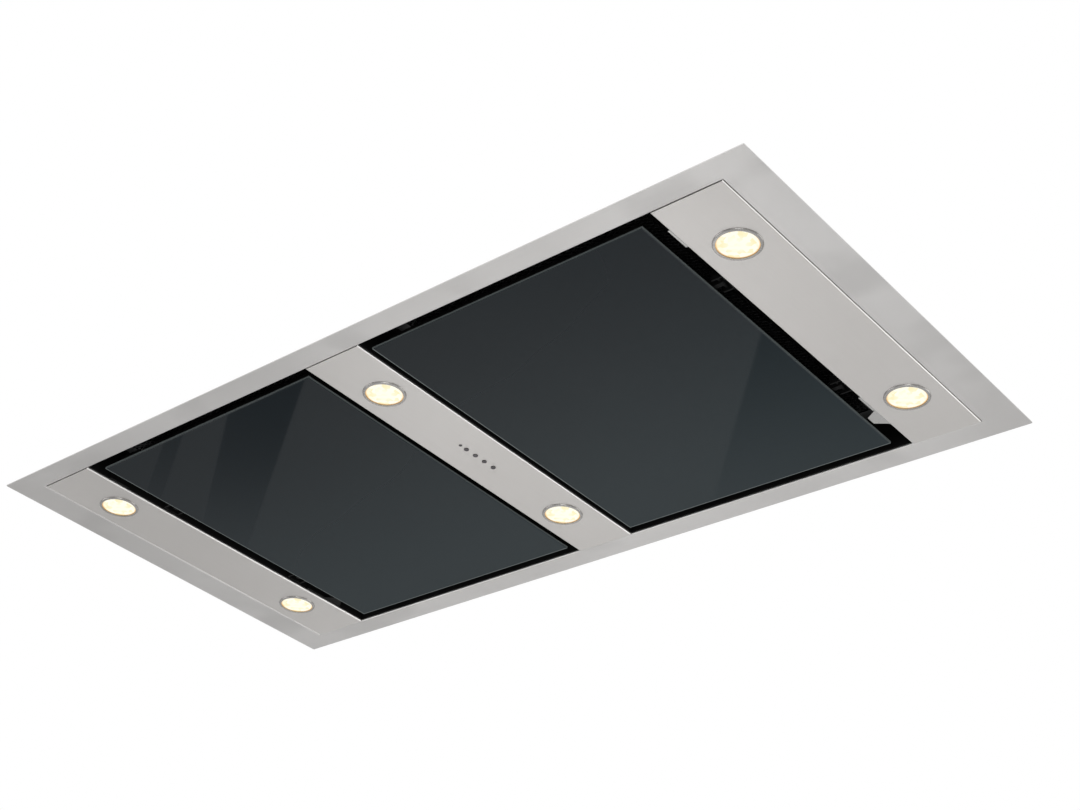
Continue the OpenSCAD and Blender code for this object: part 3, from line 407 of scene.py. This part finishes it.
def sheet_metal(name, dark, light, roughness, brush, cloud_scale, smudge=0.0, bend_highlight=0.0):
    """Brushed metal sheet: fine lines, soft clouds, a few darker smudges and a pale painted
    highlight on its bends.
    """
    material, tree, shader = new_material(name, metallic=1.0)
    clouds = use(tree, CLOUDS, Scale=cloud_scale).outputs["Mask"]
    lines = use(tree, GRAIN, Scale=brush).outputs["Height"]
    colour = mix_colour(tree, clouds, dark, light)
    if smudge:
        finer = tuple(SMUDGE_SCALE * scale for scale in cloud_scale)
        marks = use(tree, CLOUDS, Scale=finer).outputs["Mask"]
        marks = times(tree, between(tree, marks, 0.5, 1.0), smudge)
        colour = mix_colour(tree, marks, colour, tuple(SMUDGE_SHADE * part for part in dark))
    if bend_highlight:
        # Painted highlight: faces that turn away from level, the bends, are paler
        bend_glints = times(tree, between(tree, lying_flat(tree), *BEND_TILT), bend_highlight)
        colour = mix_colour(tree, bend_glints, colour, BEND_HIGHLIGHT)
    rough = varied(tree, lines, roughness, METAL_SPREAD)
    feed(tree, shader, {"Base Color": colour, "Roughness": rough})
    bump(tree, shader, lines, *BRUSH_BUMP)
    return material


def galvanised_sheet():
    """Zinc-coated sheet with its spangle, rolling marks and a little dust on top."""
    material, tree, shader = new_material("galvanised_sheet", metallic=1.0)
    crystals = use(tree, SPANGLE, Scale=110.0).outputs["Mask"]
    rolled = use(tree, GRAIN, Scale=(6.0, 160.0, 160.0)).outputs["Height"]
    dust = use(tree, DUST, Amount=0.25).outputs["Mask"]
    dark_zinc, pale_zinc, dust_grey = (0.36, 0.375, 0.39), (0.47, 0.48, 0.49), (0.5, 0.48, 0.45)
    zinc = mix_colour(tree, crystals, dark_zinc, pale_zinc)
    feed(tree, shader, {
        "Base Color": mix_colour(tree, dust, zinc, dust_grey),
        "Roughness": between(tree, crystals, 0.0, 1.0, to_low=0.36, to_high=0.5),
    })
    bump(tree, shader, rolled, *ROLLING_BUMP)
    return material


def coat(name, dark, light, roughness, skin_scale, skin=0.25, **sockets):
    """Paint, powder coat or moulded plastic: an even colour with a fine skin."""
    material, tree, shader = new_material(name, **sockets)
    patches = use(tree, CLOUDS, Scale=even(COAT_PATCHES)).outputs["Mask"]
    fine = use(tree, GRAIN, Scale=even(skin_scale)).outputs["Height"]
    feed(tree, shader, {
        "Base Color": mix_colour(tree, patches, dark, light),
        "Roughness": varied(tree, fine, roughness, COAT_SPREAD),
    })
    bump(tree, shader, fine, skin, COAT_SKIN_DEPTH)
    return material


def panel_glass():
    """Back-painted dark glass with a painted sheen: a reflection painted into its colour, growing
    towards the far side.

    Its ground edges are paler, partly their own tone and partly a painted highlight, and two
    painted highlight lines run inside its left and far edges.
    """
    material, tree, shader = new_material(
        "panel_glass", roughness=0.03, IOR=1.5, Specular_IOR_Level=0.105
    )
    haze = use(tree, CLOUDS, Scale=even(3.0)).outputs["Mask"]
    across = axes(tree, coordinates(tree, "Generated"))
    paint = mix_colour(tree, haze, *GLASS_PAINT)
    # Painted reflection: the colour grows paler towards the far side
    face = mix_colour(tree, between(tree, across["Y"], 0.0, 1.0), paint, GLASS_PAINTED_SHEEN)
    # Paler ground edges: partly their own tone, partly a painted highlight
    ground_and_highlight = between(tree, lying_flat(tree), *GROUND_TILT, 0.0, GLASS_EDGE_COVER)
    # Painted highlight lines inside the left and far edges
    left_highlight = between(tree, across["X"], *LEFT_HIGHLIGHT_LINE)
    far_highlight = between(tree, across["Y"], *FAR_HIGHLIGHT_LINE)
    painted_highlights = times(tree, larger(tree, left_highlight, far_highlight), GLASS_EDGE_COVER)
    edges = larger(tree, ground_and_highlight, painted_highlights)
    feed(tree, shader, {"Base Color": mix_colour(tree, edges, face, GLASS_EDGE_AND_HIGHLIGHT)})
    return material


def lens_glass():
    """A lit lens: facets of the reflector show through it in warm white."""
    material, tree, shader = new_material(
        "lens_glass", roughness=0.25, Emission_Strength=0.97, Specular_IOR_Level=0.1
    )
    where = coordinates(tree, "Generated")
    centred = vector_math(tree, "SUBTRACT", where, (0.5, 0.5, 0.0)).outputs[0]
    flat = vector_math(tree, "MULTIPLY", centred, (1.0, 1.0, 0.0)).outputs[0]
    radius = vector_math(tree, "LENGTH", flat).outputs["Value"]
    facets = between(tree, cell_shade(tree, flat, LENS_FACETS), *FACET_SHADES)
    outward = between(tree, radius, *FACET_RADII, *FACET_SHOW)
    cup = mix_colour(tree, times(tree, facets, outward), *LENS_GLOW)
    feed(tree, shader, {
        "Base Color": mix_colour(tree, outward, *LENS_TINT),
        "Emission Color": mix_colour(tree, between(tree, radius, *RIM_RADII), cup, LENS_RIM_GLOW),
    })
    return material


def filter_pack():
    """The mesh packed above a filter's outer layer: a tangle of dark strands, with painted shade in
    the gaps between them.
    """
    material, tree, shader = new_material("filter_pack", metallic=1.0)
    to_edge = place(tree, "ShaderNodeTexVoronoi", {
        "Vector": coordinates(tree, "Object"), "Scale": PACK_CELLS,
    }, feature="DISTANCE_TO_EDGE").outputs["Distance"]
    # Painted shade in the gaps, away from the strands
    strands = between(tree, to_edge, *PACK_STRAND)
    feed(tree, shader, {
        "Base Color": mix_colour(tree, strands, *PACK_GAP_SHADE_AND_STRAND),
        "Roughness": between(tree, strands, 0.0, 1.0, to_low=0.7, to_high=0.4),
    })
    bump(tree, shader, strands, *PACK_BUMP)
    return material


BRUSHED_LONG = sheet_metal(
    "brushed_steel_long", dark=(0.55, 0.538, 0.53), light=(0.65, 0.638, 0.63), roughness=0.36,
    brush=(12.0, 1500.0, 1500.0), cloud_scale=(2.4, 3.0, 3.0), smudge=0.3, bend_highlight=0.2,
)
BRUSHED_CROSS = sheet_metal(
    "brushed_steel_cross", dark=(0.575, 0.556, 0.54), light=(0.625, 0.606, 0.59), roughness=0.36,
    brush=(1500.0, 12.0, 1500.0), cloud_scale=(3.0, 2.0, 3.0), bend_highlight=0.55,
)
# Partly a dark finish, partly painted shade: the filter metal is darkened so the gaps round the
# panels stay black
FILTER_ALLOY_AND_SHADE = sheet_metal(
    "dark_anodised_alloy_and_shade", dark=(0.09, 0.092, 0.095), light=(0.13, 0.132, 0.135), roughness=0.38,
    brush=(20.0, 900.0, 900.0), cloud_scale=even(9.0),
)
ZINC_STEEL = sheet_metal(
    "zinc_plated_steel", dark=(0.42, 0.415, 0.41), light=(0.5, 0.495, 0.485), roughness=0.32,
    brush=even(300.0), cloud_scale=even(8.0),
)
LAMP_METAL = sheet_metal(
    "satin_chrome", dark=(0.33, 0.32, 0.31), light=(0.42, 0.41, 0.4), roughness=0.25,
    brush=even(500.0), cloud_scale=even(20.0),
)
HEATSINK = sheet_metal(
    "cast_aluminium", dark=(0.36, 0.365, 0.37), light=(0.46, 0.465, 0.47), roughness=0.5,
    brush=even(900.0), cloud_scale=even(25.0),
)
BUTTON_METAL = sheet_metal(
    "button_steel", dark=(0.07, 0.065, 0.07), light=(0.1, 0.095, 0.1), roughness=0.22,
    brush=even(700.0), cloud_scale=even(90.0),
)
GALVANISED = galvanised_sheet()
# Partly the coat's own black, partly painted shade: its colour is near none, so the gaps round the
# panels stay as dark as deep shade
BLACK_COAT_AND_SHADE = coat(
    "black_coat_and_painted_shade", dark=(0.003, 0.003, 0.003), light=(0.005, 0.005, 0.005), roughness=0.65,
    skin_scale=1200.0, skin=0.3, Specular_IOR_Level=0.12,
)
BLACK_PLASTIC = coat(
    "black_moulded_plastic", dark=(0.017, 0.017, 0.018), light=(0.024, 0.024, 0.025),
    roughness=0.48, skin_scale=2200.0,
)
WHITE_PLASTIC = coat(
    "white_moulded_plastic", dark=(0.66, 0.66, 0.64), light=(0.74, 0.74, 0.72), roughness=0.45,
    skin_scale=2200.0,
)
MOTOR_PAINT = coat(
    "motor_enamel", dark=(0.035, 0.036, 0.04), light=(0.05, 0.051, 0.056), roughness=0.35,
    skin_scale=700.0,
)
INDICATOR = coat(
    "dark_light_guide", dark=(0.03, 0.027, 0.03), light=(0.045, 0.04, 0.045), roughness=0.2,
    skin_scale=900.0, skin=0.05,
)
PANEL_GLASS = panel_glass()
LENS_GLASS = lens_glass()
FILTER_PACK = filter_pack()

FINISHES = {
    "brushed_steel": BRUSHED_LONG, "galvanised": GALVANISED, "black_coat": BLACK_COAT_AND_SHADE,
    "dark_glass": PANEL_GLASS, "filter_alloy": FILTER_ALLOY_AND_SHADE, "zinc_steel": ZINC_STEEL,
    "black_plastic": BLACK_PLASTIC, "white_plastic": WHITE_PLASTIC, "motor_paint": MOTOR_PAINT,
    "lamp_metal": LAMP_METAL, "lamp_glass": LENS_GLASS, "lamp_heatsink": HEATSINK,
    "button_metal": BUTTON_METAL, "indicator": INDICATOR,
}
NODE_FINISHES = {
    "left_strip": BRUSHED_CROSS, "centre_strip": BRUSHED_CROSS, "right_strip": BRUSHED_CROSS,
    # Painted shade: the left edge clips match the zinc clips at the right, and are black to stand
    # in for the shade they lie in
    "left_edge_clips": BLACK_COAT_AND_SHADE, "hinge_brackets": BLACK_COAT_AND_SHADE, "left_hinge_pins": BLACK_COAT_AND_SHADE,
    "right_hinge_pins": BLACK_COAT_AND_SHADE, "left_filter_mesh": FILTER_PACK,
    "right_filter_mesh": FILTER_PACK,
}


def finish_nodes():
    """Gives every CAD node the finish of its record slot, or its own."""
    slots = {row["node"]: row["material_slot"] for row in frame["record"]["subparts"]}
    for name, node in nodes.items():
        finish = NODE_FINISHES.get(name) or FINISHES[slots[name]]
        if not node.material_slots:
            node.data.materials.append(finish)
        for slot in node.material_slots:
            slot.material = finish


# Pieces

def new_object(name, data):
    """An object in the scene."""
    made = bpy.data.objects.new(name, data)
    bpy.context.scene.collection.objects.link(made)
    return made


def piece(name, bm, slot, body="root", smooth=True):
    """A mesh object from a bmesh, in its slot's finish, that rides on a body."""
    bmesh.ops.recalc_face_normals(bm, faces=bm.faces)
    mesh = bpy.data.meshes.new(name)
    bm.to_mesh(mesh)
    bm.free()
    if smooth:
        mesh.shade_smooth()
        mesh.set_sharp_from_angle(angle=CREASE_ANGLE)
    mesh.materials.append(FINISHES[slot])
    made = new_object(name, mesh)
    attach(made, body)
    return made


def ring_of(bm, radius, z, segments, where):
    """A ring of vertices round a local Z axis."""
    turns = [2 * math.pi * i / segments for i in range(segments)]
    points = [Vector((radius * math.cos(turn), radius * math.sin(turn), z)) for turn in turns]
    return [bm.verts.new(where @ point) for point in points]


def band(bm, near, far):
    """A closed band of faces between two rings with as many vertices each."""
    for i in range(len(near)):
        j = (i + 1) % len(near)
        bm.faces.new((near[i], near[j], far[j], far[i]))


def edges_round(bm, ring):
    """The edges of a closed ring of vertices."""
    return [bm.edges.get((ring[i], ring[(i + 1) % len(ring)])) for i in range(len(ring))]


def turned(bm, profile, segments, where):
    """A turned shell along (radius, height) points, open at both ends. Returns its rings."""
    rings = [ring_of(bm, radius, z, segments, where) for radius, z in profile]
    for low, high in zip(rings, rings[1:]):
        band(bm, low, high)
    return rings


def cross_outline(reach, half_width):
    """The corners of a cross, three for each of its four arms."""
    arm = [(reach, -half_width), (reach, half_width), (half_width, half_width)]
    corners = []
    for _ in range(4):
        corners += arm
        arm = [(-y, x) for x, y in arm]
    return corners


def screw_head(bm, where, radius, height):
    """A pan head with a cross recess, standing on its local XY plane."""
    outline = [(share * radius, rise * height) for share, rise in PAN_OUTLINE]
    rings = turned(bm, outline, PAN_SEGMENTS, where)
    bm.faces.new(list(reversed(rings[0])))
    corners = cross_outline(RECESS_REACH * radius, RECESS_HALF_W * radius)
    sunk = [(RECESS_TAPER * x, RECESS_TAPER * y, RECESS_FLOOR * height) for x, y in corners]
    rim = [bm.verts.new(where @ Vector((x, y, height))) for x, y in corners]
    floor = [bm.verts.new(where @ Vector(corner)) for corner in sunk]
    band(bm, rim, floor)
    bm.faces.new(floor)
    top = edges_round(bm, rim) + edges_round(bm, rings[-1])
    bmesh.ops.triangle_fill(bm, edges=top, use_beauty=True, use_dissolve=False)


def rivet_head(bm, where, radius, height):
    """A domed rivet head on its local XY plane."""
    outline = [(radius * math.cos(angle), height * math.sin(angle)) for angle in DOME_ANGLES]
    rings = turned(bm, outline, DOME_SEGMENTS, where)
    bm.faces.new(list(reversed(rings[0])))
    bm.faces.new(rings[-1])


def standing(spot, direction):
    """A matrix at a spot, with its Z axis along a direction."""
    turn = Vector((0.0, 0.0, 1.0)).rotation_difference(Vector(direction))
    return Matrix.Translation(spot) @ turn.to_matrix().to_4x4()


def spread(half, count):
    """Evenly spaced places from -half to half."""
    return [-half + 2 * half * i / (count - 1) for i in range(count)]


def casing_screws():
    """The screws of the casing's top, with their recesses."""
    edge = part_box("casing_top")[1]
    half_x, half_y = edge.x - CASING_SCREW_INSET, edge.y - CASING_SCREW_INSET
    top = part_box("casing_walls")[1].z + CASING_TOP_T
    spots = [(x, y) for x in spread(half_x, CASING_SCREW_COLUMNS) for y in (-half_y, half_y)]
    spots += [(-half_x, 0.0), (half_x, 0.0)]
    bm = bmesh.new()
    for index, (x, y) in enumerate(spots):
        spin = Matrix.Rotation(CASING_SCREW_SPIN * index, 4, "Z")
        screw_head(bm, Matrix.Translation((x, y, top)) @ spin, *CASING_SCREW)
    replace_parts(piece("casing_screws", bm, "zinc_steel"), "top_screws")


def collar_screws():
    """Screws that hold the face's collar to the casing, all round."""
    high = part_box("casing_top")[1] + Vector((COLLAR_OUT, COLLAR_OUT, 0.0))
    bm = bmesh.new()
    for x in spread(high.x - COLLAR_SCREW_INSET, COLLAR_SCREW_COUNTS[0]):
        for side in (-1, 1):
            screw_head(bm, standing((x, side * high.y, COLLAR_Z), (0.0, side, 0.0)), *COLLAR_SCREW)
    for y in spread(high.y - COLLAR_SCREW_INSET, COLLAR_SCREW_COUNTS[1]):
        for side in (-1, 1):
            screw_head(bm, standing((side * high.x, y, COLLAR_Z), (side, 0.0, 0.0)), *COLLAR_SCREW)
    piece("collar_screws", bm, "zinc_steel")


def hanger_screws():
    """Two screws through each hanger's foot."""
    bm = bmesh.new()
    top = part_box("hanger_brackets")[0].z + HANGER_T
    for side_x in (-1, 1):
        for side_y in (-1, 1):
            for offset in (-HANGER_SCREW_OFFSET, HANGER_SCREW_OFFSET):
                spot = (side_x * HANGER_FOOT[0], side_y * HANGER_FOOT[1] + offset, top)
                screw_head(bm, Matrix.Translation(spot), *CASING_SCREW)
    piece("hanger_screws", bm, "zinc_steel")


def cover_screws():
    """Four screws in the terminal box's cover."""
    low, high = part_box("terminal_cover")
    bm = bmesh.new()
    for x in (low.x + COVER_SCREW_INSET, high.x - COVER_SCREW_INSET):
        for y in (low.y + COVER_SCREW_INSET, high.y - COVER_SCREW_INSET):
            screw_head(bm, Matrix.Translation((x, y, high.z)), *COVER_SCREW)
    piece("cover_screws", bm, "zinc_steel")


def spigot_rivets():
    """Rivets through the duct spigot's base flange."""
    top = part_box("duct_spigot")[0].z + SPIGOT_FLANGE_T
    bm = bmesh.new()
    for i in range(SPIGOT_RIVETS):
        turn = 2 * math.pi * (i + 0.5) / SPIGOT_RIVETS
        x, y = SPIGOT_RIVET_CIRCLE * math.cos(turn), SPIGOT_RIVET_CIRCLE * math.sin(turn)
        rivet_head(bm, Matrix.Translation((x, y, top)), *RIVET)
    piece("spigot_rivets", bm, "zinc_steel")


def earth_screw():
    """The small earthing screw on the near wall of the left panel's tray."""
    bm = bmesh.new()
    screw_head(bm, standing(EARTH_SCREW_PLACE, (0.0, -1.0, 0.0)), *EARTH_SCREW)
    piece("earth_screw", bm, "zinc_steel", "left_panel")


def expanded_sheet(name, low, high, z):
    """Expanded aluminium sheet: zigzag strands whose corners meet those of the next rows."""
    step_x, step_y = DIAMOND_W / 2, DIAMOND_D / 2
    columns = int((high.x - low.x) / step_x)
    rows = int((high.y - low.y - DIAMOND_D / 2) / step_y)
    x0 = (low.x + high.x - columns * step_x) / 2
    y0 = (low.y + high.y - (rows - 1) * step_y) / 2
    half_w, half_t = STRAND_W / 2, STRAND_T / 2
    section = ((-1, -1), (1, -1), (1, 1), (-1, 1))
    bm = bmesh.new()
    for row in range(rows):
        before = None
        for column in range(columns + 1):
            side = 1 if (row + column) % 2 else -1
            x = x0 + column * step_x
            y = y0 + row * step_y + side * (step_y / 2 - half_w / 2)
            corners = [(x, y + a * half_w, z + (b + side * a) * half_t) for a, b in section]
            now = [bm.verts.new(corner) for corner in corners]
            if before:
                band(bm, before, now)
            else:
                bm.faces.new(now)
            before = now
        bm.faces.new(list(reversed(before)))
    piece(name, bm, "filter_alloy", smooth=False)


def filter_layers():
    """The outer layer of expanded sheet under each filter's pack."""
    inset = Vector((LAYER_INSET, LAYER_INSET, 0.0))
    for side in ("left", "right"):
        low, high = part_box(f"{side}_filter_mesh")
        below = low.z - 2 * STRAND_T
        expanded_sheet(f"{side}_filter_layer_below", low + inset, high - inset, below)


def in_metres(outline):
    """An outline whose points are given in millimetres."""
    return [(radius * MM, height * MM) for radius, height in outline]


def flute(ring, where):
    """Presses flutes into one ring of the gland's cap nut."""
    for vert in ring:
        local = where.inverted() @ vert.co
        if math.cos(CAP_FLUTES * math.atan2(local.y, local.x)) < FLUTE_START:
            share = 1.0 - FLUTE_DEPTH
            vert.co = where @ Vector((local.x * share, local.y * share, local.z))


def gland_nuts():
    """The cable gland: a hexagonal body, a fluted cap nut with a domed end, and its rubber seal."""
    low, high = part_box("cable_gland")
    reach = (high.z - low.z) / 2
    end = (high.x, (low.y + high.y) / 2, (low.z + high.z) / 2)
    where = Matrix.Translation(end) @ Matrix.Rotation(math.pi / 2, 4, "Y")
    hexagon = [(share * reach, height * MM) for share, height in GLAND_HEXAGON]
    bm = bmesh.new()
    turned(bm, hexagon, 6, where)
    turned(bm, in_metres(GLAND_THREAD) + hexagon[:1], THREAD_SEGMENTS, where)
    cap = turned(bm, in_metres(GLAND_CAP), GLAND_SEGMENTS, where)
    for ring in cap[FLUTED_RINGS]:
        flute(ring, where)
    turned(bm, in_metres(GLAND_SEAL), GLAND_SEGMENTS, where)
    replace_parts(piece("cable_gland_nuts", bm, "black_plastic"), "cable_gland")


def dome_ring(bm, index, drop, where):
    """One ring of a lens's dome, with its pebbles on all but the outermost ring."""
    share = index / LENS_RINGS
    depth = drop * (1.0 - share ** 2) * LENS_DOME
    ring = ring_of(bm, LENS_OPEN_R * share, depth, LENS_SEGMENTS, where)
    if index < LENS_RINGS:
        for i, vert in enumerate(ring):
            wave = math.cos(math.pi * index) * math.cos(math.pi * i / 2 + index)
            vert.co.z -= PEBBLE * wave
    return ring


def lamp_lenses():
    """Pressed lenses with a ring pattern of shallow pebbles over the reflector."""
    for index in range(1, LAMPS + 1):
        low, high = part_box(f"lamp_lens_{index}")
        where = Matrix.Translation(((low.x + high.x) / 2, (low.y + high.y) / 2, 0.0))
        rim_r = (high.x - low.x) / 2
        bm = bmesh.new()
        rings = [dome_ring(bm, ring, low.z, where) for ring in range(1, LENS_RINGS + 1)]
        centre = bm.verts.new(where @ Vector((0.0, 0.0, low.z * LENS_DOME)))
        for i in range(LENS_SEGMENTS):
            bm.faces.new((centre, rings[0][(i + 1) % LENS_SEGMENTS], rings[0][i]))
        rings += [ring_of(bm, rim_r, z, LENS_SEGMENTS, where) for z in (0.0, high.z)]
        for inner, outer in zip(rings, rings[1:]):
            band(bm, inner, outer)
        bm.faces.new(list(reversed(rings[-1])))
        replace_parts(piece(f"lamp_glass_{index}", bm, "lamp_glass"), f"lamp_lens_{index}")


def build_pieces():
    """The small parts that the scene adds to the CAD nodes, or draws in their place."""
    casing_screws()
    collar_screws()
    hanger_screws()
    cover_screws()
    spigot_rivets()
    earth_screw()
    filter_layers()
    gland_nuts()
    lamp_lenses()


# Stage

def seen_rays(tree):
    """One for camera, glossy and transmission rays, and nothing for the rest."""
    path = place(tree, "ShaderNodeLightPath").outputs
    seen = larger(tree, path["Is Camera Ray"], path["Is Glossy Ray"])
    return larger(tree, seen, path["Is Transmission Ray"])


def studio_world():
    """White where it is seen, mirrored or seen through, and a plain soft light elsewhere."""
    world = bpy.data.worlds.new("studio")
    bpy.context.scene.world = world
    world.use_nodes = True
    tree = world.node_tree
    tree.nodes.clear()
    soft = place(tree, "ShaderNodeBackground", {"Color": WHITE, "Strength": SOFT_STRENGTH})
    white = place(tree, "ShaderNodeBackground", {"Color": WHITE, "Strength": SEEN_STRENGTH})
    mix = place(tree, "ShaderNodeMixShader", {
        "Fac": seen_rays(tree), 1: soft.outputs[0], 2: white.outputs[0],
    })
    place(tree, "ShaderNodeOutputWorld", {"Surface": mix.outputs[0]})


def level_corners(half_x, half_y, z):
    """The corners of a level rectangle round the Z axis."""
    return [(x * half_x, y * half_y, z) for x, y in ((-1, -1), (1, -1), (1, 1), (-1, 1))]


def stage_mesh(name, corners, faces, material):
    """A flat mesh for the floor, the ceiling board or a flat round the object."""
    mesh = bpy.data.meshes.new(name)
    mesh.from_pydata(corners, [], faces)
    mesh.materials.append(material)
    made = new_object(name, mesh)
    return made


def studio_floor():
    """A plain pale floor, far enough below the hood for a camera that looks up at it."""
    material, tree, shader = new_material("pale_floor", roughness=0.8)
    patches = use(tree, CLOUDS, Scale=even(0.5)).outputs["Mask"]
    shade, light = (0.85, 0.85, 0.845), (0.88, 0.88, 0.875)
    feed(tree, shader, {"Base Color": mix_colour(tree, patches, shade, light)})
    corners = level_corners(FLOOR_SIZE / 2, FLOOR_SIZE / 2, -FLOOR_DROP)
    stage_mesh("floor", corners, [(0, 1, 2, 3)], material)


def ceiling_white():
    """White light on the side that looks down, and nothing at all on the side that looks up."""
    material, tree = empty_material("white_ceiling")
    behind = place(tree, "ShaderNodeNewGeometry").outputs["Backfacing"]
    front = calculate(tree, "SUBTRACT", 1.0, behind)
    white = place(tree, "ShaderNodeEmission", {"Color": WHITE, "Strength": SEEN_STRENGTH})
    clear = place(tree, "ShaderNodeBsdfTransparent")
    mix = place(tree, "ShaderNodeMixShader", {
        "Fac": times(tree, seen_rays(tree), front), 1: clear.outputs[0], 2: white.outputs[0],
    })
    place(tree, "ShaderNodeOutputMaterial", {"Surface": mix.outputs[0]})
    return material


def ceiling_board():
    """The white ceiling that the flange lies against: seen from below only, never from above."""
    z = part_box("casing_walls")[0].z + CEILING_GAP
    corners = level_corners(CEILING_SIZE / 2, CEILING_SIZE / 2, z)
    corners += level_corners(CEILING_CUT_OUT[0] / 2, CEILING_CUT_OUT[1] / 2, z)
    faces = [(4 + i, 4 + (i + 1) % 4, (i + 1) % 4, i) for i in range(4)]
    board = stage_mesh("ceiling_board", corners, faces, ceiling_white())
    board.visible_diffuse = False
    board.visible_shadow = False


def flat_tone(name, heights, tones):
    """A flat's own grey, which changes with its height."""
    material, tree = empty_material(name)
    height = axes(tree, coordinates(tree, "Object"))["Z"]
    grey = place(tree, "ShaderNodeEmission", {
        "Color": WHITE, "Strength": between(tree, height, *heights, *tones),
    })
    place(tree, "ShaderNodeOutputMaterial", {"Surface": grey.outputs[0]})
    return material


def from_camera(azimuth, z):
    """The place at a flat's distance from the camera, on one of its azimuths."""
    turn = math.radians(azimuth)
    x = CAMERA_PLACE[0] + FLAT_DISTANCE * math.cos(turn)
    y = CAMERA_PLACE[1] + FLAT_DISTANCE * math.sin(turn)
    return (x, y, z)


def studio_flats():
    """Grey boards on the floor that only mirroring surfaces show."""
    for name, (at_floor, at_top, heights, tones) in FLATS.items():
        corners = [from_camera(azimuth, -FLOOR_DROP) for azimuth in at_floor]
        corners += [from_camera(azimuth, heights[1]) for azimuth in reversed(at_top)]
        flat = stage_mesh(name, corners, [(0, 1, 2, 3)], flat_tone(name + "_grey", heights, tones))
        flat.visible_camera = False
        flat.visible_diffuse = False
        flat.visible_shadow = False


def aim(made, spot, target):
    """Puts a camera or a light at a spot and turns it to a target."""
    made.location = spot
    made.rotation_mode = "QUATERNION"
    made.rotation_quaternion = (Vector(target) - Vector(spot)).to_track_quat("-Z", "Y")


def area_light(name, spot, target, width, power, mirrored):
    """A square soft light that looks at a point and isn't seen itself."""
    light = bpy.data.lights.new(name, "AREA")
    light.shape = "SQUARE"
    light.size = width
    light.energy = power
    lamp = new_object(name, light)
    aim(lamp, spot, target)
    lamp.visible_camera = False
    lamp.visible_glossy = mirrored


def studio_camera():
    """The camera at the photograph's viewing angle."""
    data = bpy.data.cameras.new("camera")
    data.lens = CAMERA_LENS
    data.sensor_width = CAMERA_SENSOR
    data.shift_x, data.shift_y = CAMERA_SHIFT
    data.clip_start = CAMERA_CLIP
    camera = new_object("camera", data)
    aim(camera, CAMERA_PLACE, CAMERA_AIM)
    roll = Quaternion((0.0, 0.0, 1.0), CAMERA_ROLL)
    camera.rotation_quaternion = camera.rotation_quaternion @ roll
    bpy.context.scene.camera = camera


def build_stage():
    """The camera, the white world, the floor and boards, and the lights."""
    studio_camera()
    studio_world()
    studio_floor()
    ceiling_board()
    studio_flats()
    for name, values in LIGHTS.items():
        area_light(name, *values)


build_stage()
finish_nodes()
build_pieces()

bpy.context.scene.view_settings.view_transform = "Standard"
